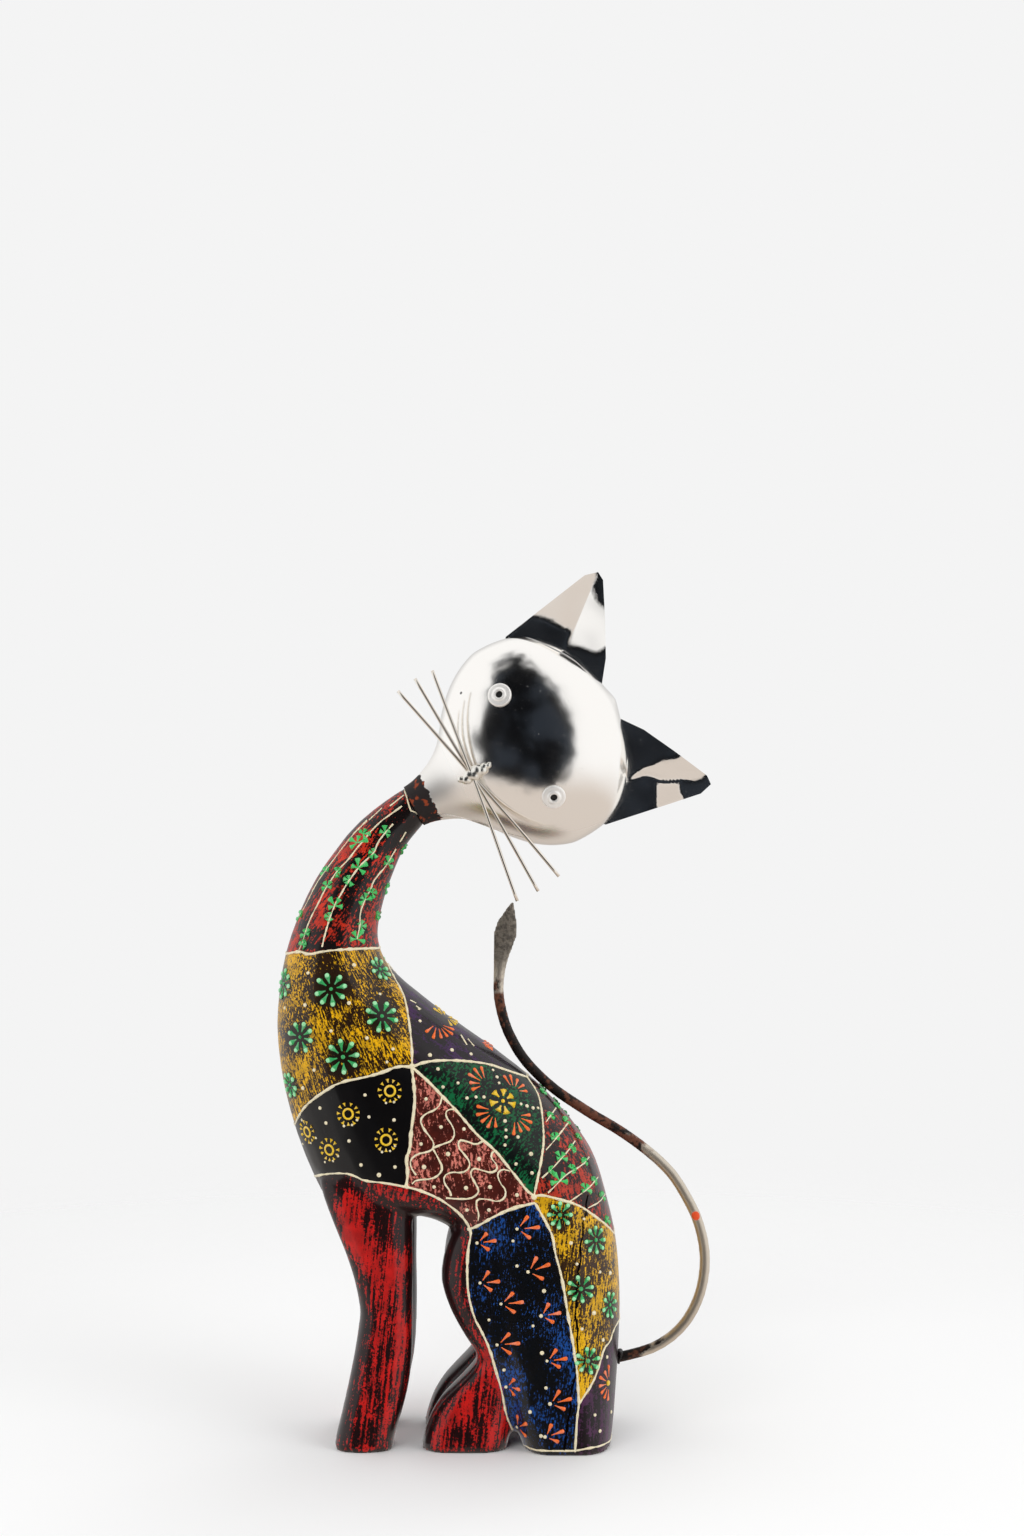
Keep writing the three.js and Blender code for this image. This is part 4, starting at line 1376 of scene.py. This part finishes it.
low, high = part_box("nose_solder")
middle = (low + high) / 2
along_axis = head_frame.to_3x3() @ Vector((1, 0, 0))
across_axis = head_frame.to_3x3() @ Vector((0, 0, 1))
balls = []
for shift, side, size in SOLDER_DROPS:
    place = middle + along_axis * shift * MM + across_axis * side * MM
    place.y = middle.y - (0.4 - size * 0.1) * MM
    balls.append((place, size * SWELL * MM))
solder_metal = plated("solder_metal", paint(0.94, 0.93, 0.90), 0.3, 0.5, Metallic=1.0)
solder_metal.feed(
    Base_Color=solder_metal.base, Roughness=solder_metal.rough,
    Normal=solder_metal.bump(solder_metal.relief, 0.5, 0.6 * MM),
)
dress(lump("solder_lump", balls, 2), solder_metal.material, "solder", "nose_solder")

# %% [markdown]
# ## Tail
# The tail is a steel rod that was heated to bend it, which left a brown-black skin along the back, and its
# end was hammered out into a pitted leaf. Where each begins and ends is read down and across the
# photograph, in pixels.

# %% Tail
ROD_VOXEL = 0.7 * MM
tail = remeshed(object_from("bent_rod", copy_of("tail")), ROD_VOXEL, 3)
tail_x, tail_y = pixels(read_points(tail.data))
upper_side = eased(read_points(tail.data, "normal")[:, 2], -0.1, 0.3)
burnt = eased(tail_y, 955, 1015) * (1 - eased(tail_x, 600, 690))
near_root = upper_side * (1 - eased(tail_x, 630, 705)) * 0.85
near_root = np.maximum(near_root, 1 - eased(tail_x, 617, 624)) * eased(tail_y, 1320, 1335)
copper = eased(tail_y, 1085, 1115) * (1 - eased(tail_y, 1175, 1200)) + (1 - eased(tail_y, 1000, 1020)) * 0.6
write_attribute(tail.data, "burnt", "FLOAT", np.maximum(burnt, near_root))
write_attribute(tail.data, "copper", "FLOAT", copper)
write_attribute(tail.data, "leaf", "FLOAT", 1 - eased(tail_y, 950, 985))
print("burnt share of the rod:", round(float(burnt.mean()), 2))

# %% [markdown]
# Noise breaks the edge of the burnt skin, and copper-coloured flecks show in it. The leaf is pitted all
# over. A spot of orange paint fell on the bow's outer side.

# %% Finish of the tail
SPOT_DOWN = 1215                     # pixels down the photograph
SPOT_IN = 6.9 * MM                   # from the outermost point of the bow
low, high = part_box("tail")
spot = Vector((high.x - SPOT_IN, low.y, CAMERA_SPOT.z - (SPOT_DOWN - PHOTO_CENTRE[1]) * METRES_PER_PIXEL))
rod = plated("rod_metal", paint(0.86, 0.82, 0.76), 0.5, 0.4)
place = rod.place()
leaf = rod.attribute("leaf", "Fac")
scorch = (rod.attribute("burnt", "Fac") + rod.cloud(place, 170.0, 4.0) * 1.1 - 0.55).ramp(0.36, 0.62)
flecks = (rod.cloud(place, 300.0, 4.0) + rod.attribute("copper", "Fac") * 0.16).ramp(0.52, 0.68)
pits = rod.cloud(place, 620.0, 4.0).ramp(0.38, 0.62)
pitted = leaf * (pits * 0.3 + 0.5)
dripped = 1 - rod.away_from(spot).ramp(1.9 * MM, 2.3 * MM)
burnt_colour = rod.mix(flecks, paint(0.10, 0.07, 0.06), paint(0.42, 0.25, 0.18))
metal_colour = rod.mix(pitted, rod.base, paint(0.36, 0.35, 0.34))
rod.feed(
    Base_Color=rod.mix(dripped, rod.mix(scorch, metal_colour, burnt_colour), paint(0.88, 0.30, 0.10)),
    Metallic=(1 - scorch * 0.7) * (1 - dripped),
    Roughness=rod.rough + scorch * 0.12 + pitted * 0.3,
    Normal=rod.bump(rod.relief + pits * leaf * 0.6 + scorch * 0.3, 0.35, 0.5 * MM),
)
dress(tail, rod.material, "tail_rod", "tail")

# %% [markdown]
# The rod is glued into a drilled hole, and dark glue swelled out round it, most of it above the rod.

# %% Glue at the tail's root
ROOT = Vector((58.2, 0.0, 35.6)) * MM
GLUE_DROPS = 9
glue_balls = []
for i in range(GLUE_DROPS):
    angle = math.tau * i / GLUE_DROPS + 0.3
    above = max(0.0, math.sin(angle))
    lift = 2.3 + 0.5 * math.sin(i * 2.4)
    out = 0.4 * math.cos(i * 1.7) + 0.6 * above
    size = 0.75 + 0.3 * math.sin(i * 3.1) + 0.75 * above
    ring_place = ROOT + Vector((out, math.cos(angle) * lift, math.sin(angle) * lift)) * MM
    glue_balls.append((ring_place, size * MM))
glue_black = Finish("glue_black", Roughness=0.35)
grain = glue_black.cloud(glue_black.place(), 500.0)
glue_black.feed(
    Base_Color=glue_black.mix(grain.ramp(0.4, 0.7), paint(0.05, 0.04, 0.05), paint(0.16, 0.11, 0.12)),
    Normal=glue_black.bump(grain, 0.4, 0.4 * MM),
)
dress(lump("tail_glue", glue_balls, 1), glue_black.material, "painted_wood")

# %% [markdown]
# ## Light, floor and surroundings
# A plated head shows whatever stands around it: here a bright studio tent with one dark gap in front of
# the cat, where the camera stood. The world's colour therefore depends on the direction: white above and
# to the sides, warm grey below, greyer behind, and near black inside an egg-shaped gap. The camera itself
# sees a plain pale wall. Colours are shown as they are, without a film curve.

# %% Studio world
class Sky(Finish):
    """The world's tree, built with the same node method."""

    def __init__(self, made):
        self.material = made
        self.tree = made.node_tree
        self.shader = self.tree.nodes["Background"]


bpy.context.scene.view_settings.view_transform = "Standard"
world = bpy.data.worlds.new("studio")
bpy.context.scene.world = world
world.use_nodes = True
sky = Sky(world)
direction = sky.node("ShaderNodeTexCoord", out="Generated")
parts = sky.node("ShaderNodeSeparateXYZ", None, {0: direction})
side, depth, rise = (Value(sky, parts.socket.node.outputs[i]) for i in range(3))
print("view transform:", bpy.context.scene.view_settings.view_transform)

# %% [markdown]
# The gap is an egg, a little wider at its top, with a wispy edge. It faces the viewer only, so the head's
# back mirrors no gap. Inside, it is not quite black: a dim room shows in it.

# %% What the metal mirrors
GAP_MIDDLE = Vector((-0.105, 0.0, 0.215))
GAP_WIDE = 0.60
GAP_TALL = 0.78
WALL = paint(0.957, 0.957, 0.957)
wisps = sky.cloud(direction, 5.0, 4.0) - 0.5
egg_tall = (rise - GAP_MIDDLE.z) * (1 / GAP_TALL)
egg_wide = (side - GAP_MIDDLE.x) * (1 / GAP_WIDE) * (1 + egg_tall * 0.22)
egg = (egg_wide * egg_wide + egg_tall * egg_tall).math("SQRT") + wisps * 0.55
facing_us = (0 - depth).ramp(-0.1, 0.2)
gap = (1 - egg.ramp(0.86, 1.04)) * facing_us
light = sky.mix(rise.ramp(-0.6, -0.1), paint(0.85, 0.81, 0.775), paint(1.0, 1.0, 1.0))
light = sky.mix(depth.ramp(0.5, 0.95) * 0.4, light, paint(0.50, 0.49, 0.48))
cloudy = sky.cloud(direction, 3.0).ramp(0.45, 0.65)
murk = sky.mix(cloudy, paint(0.04, 0.045, 0.055), paint(0.17, 0.19, 0.22))
around_cat = sky.mix(gap, light, murk)
seen = sky.node("ShaderNodeLightPath", out="Is Camera Ray")
sky.feed(Color=sky.mix(seen, around_cat, WALL))
print("the world takes", len(sky.tree.nodes), "nodes")

# %% [markdown]
# Three large soft lamps give the carving some shape. They light the surfaces but do not show in them, so
# that the dome keeps its calm reflection.

# %% Lamps
AIM = Vector((0, 0, 0.2))
LAMPS = [                            # name, place, width in metres and power in watts
    ("key", Vector((-0.6, -1.5, 1.2)), 1.3, 15),
    ("fill", Vector((1.2, -1.0, 0.8)), 1.0, 5),
    ("rim", Vector((0.5, 1.2, 1.2)), 0.9, 3.5),
]
for name, place, size, power in LAMPS:
    data = bpy.data.lights.new(name, "AREA")
    data.shape = "DISK"
    data.size = size
    data.energy = power
    lamp = bpy.data.objects.new(name, data)
    lamp.location = place
    lamp.rotation_euler = (AIM - place).to_track_quat("-Z", "Y").to_euler()
    lamp.visible_glossy = False
    bpy.context.collection.objects.link(lamp)
print("lamps:", [name for name, *_ in LAMPS])

# %% [markdown]
# The floor is a wide pale disc just under the soles. It fades out before it ends, and is hidden from glossy
# rays, so that it does not show in the plating.

# %% Floor
FLOOR_RADIUS = 3.0
FLOOR_DROP = 0.2 * MM
FADE = (0.25, 0.9)                   # metres from the middle
bm = bmesh.new()
bmesh.ops.create_circle(bm, cap_ends=True, segments=96, radius=FLOOR_RADIUS)
floor = object_from("floor", bm, smooth=False)
floor.location.z = -FLOOR_DROP
pale = Finish("pale_floor", Base_Color=paint(0.945, 0.945, 0.945), Roughness=0.7, Specular_IOR_Level=0.1)
pale.feed(Alpha=1 - pale.away_from((0.0, 0.0, 0.0)).ramp(*FADE))
floor.data.materials.append(pale.material)
floor.visible_glossy = False
print("floor:", FLOOR_RADIUS * 2, "m across")
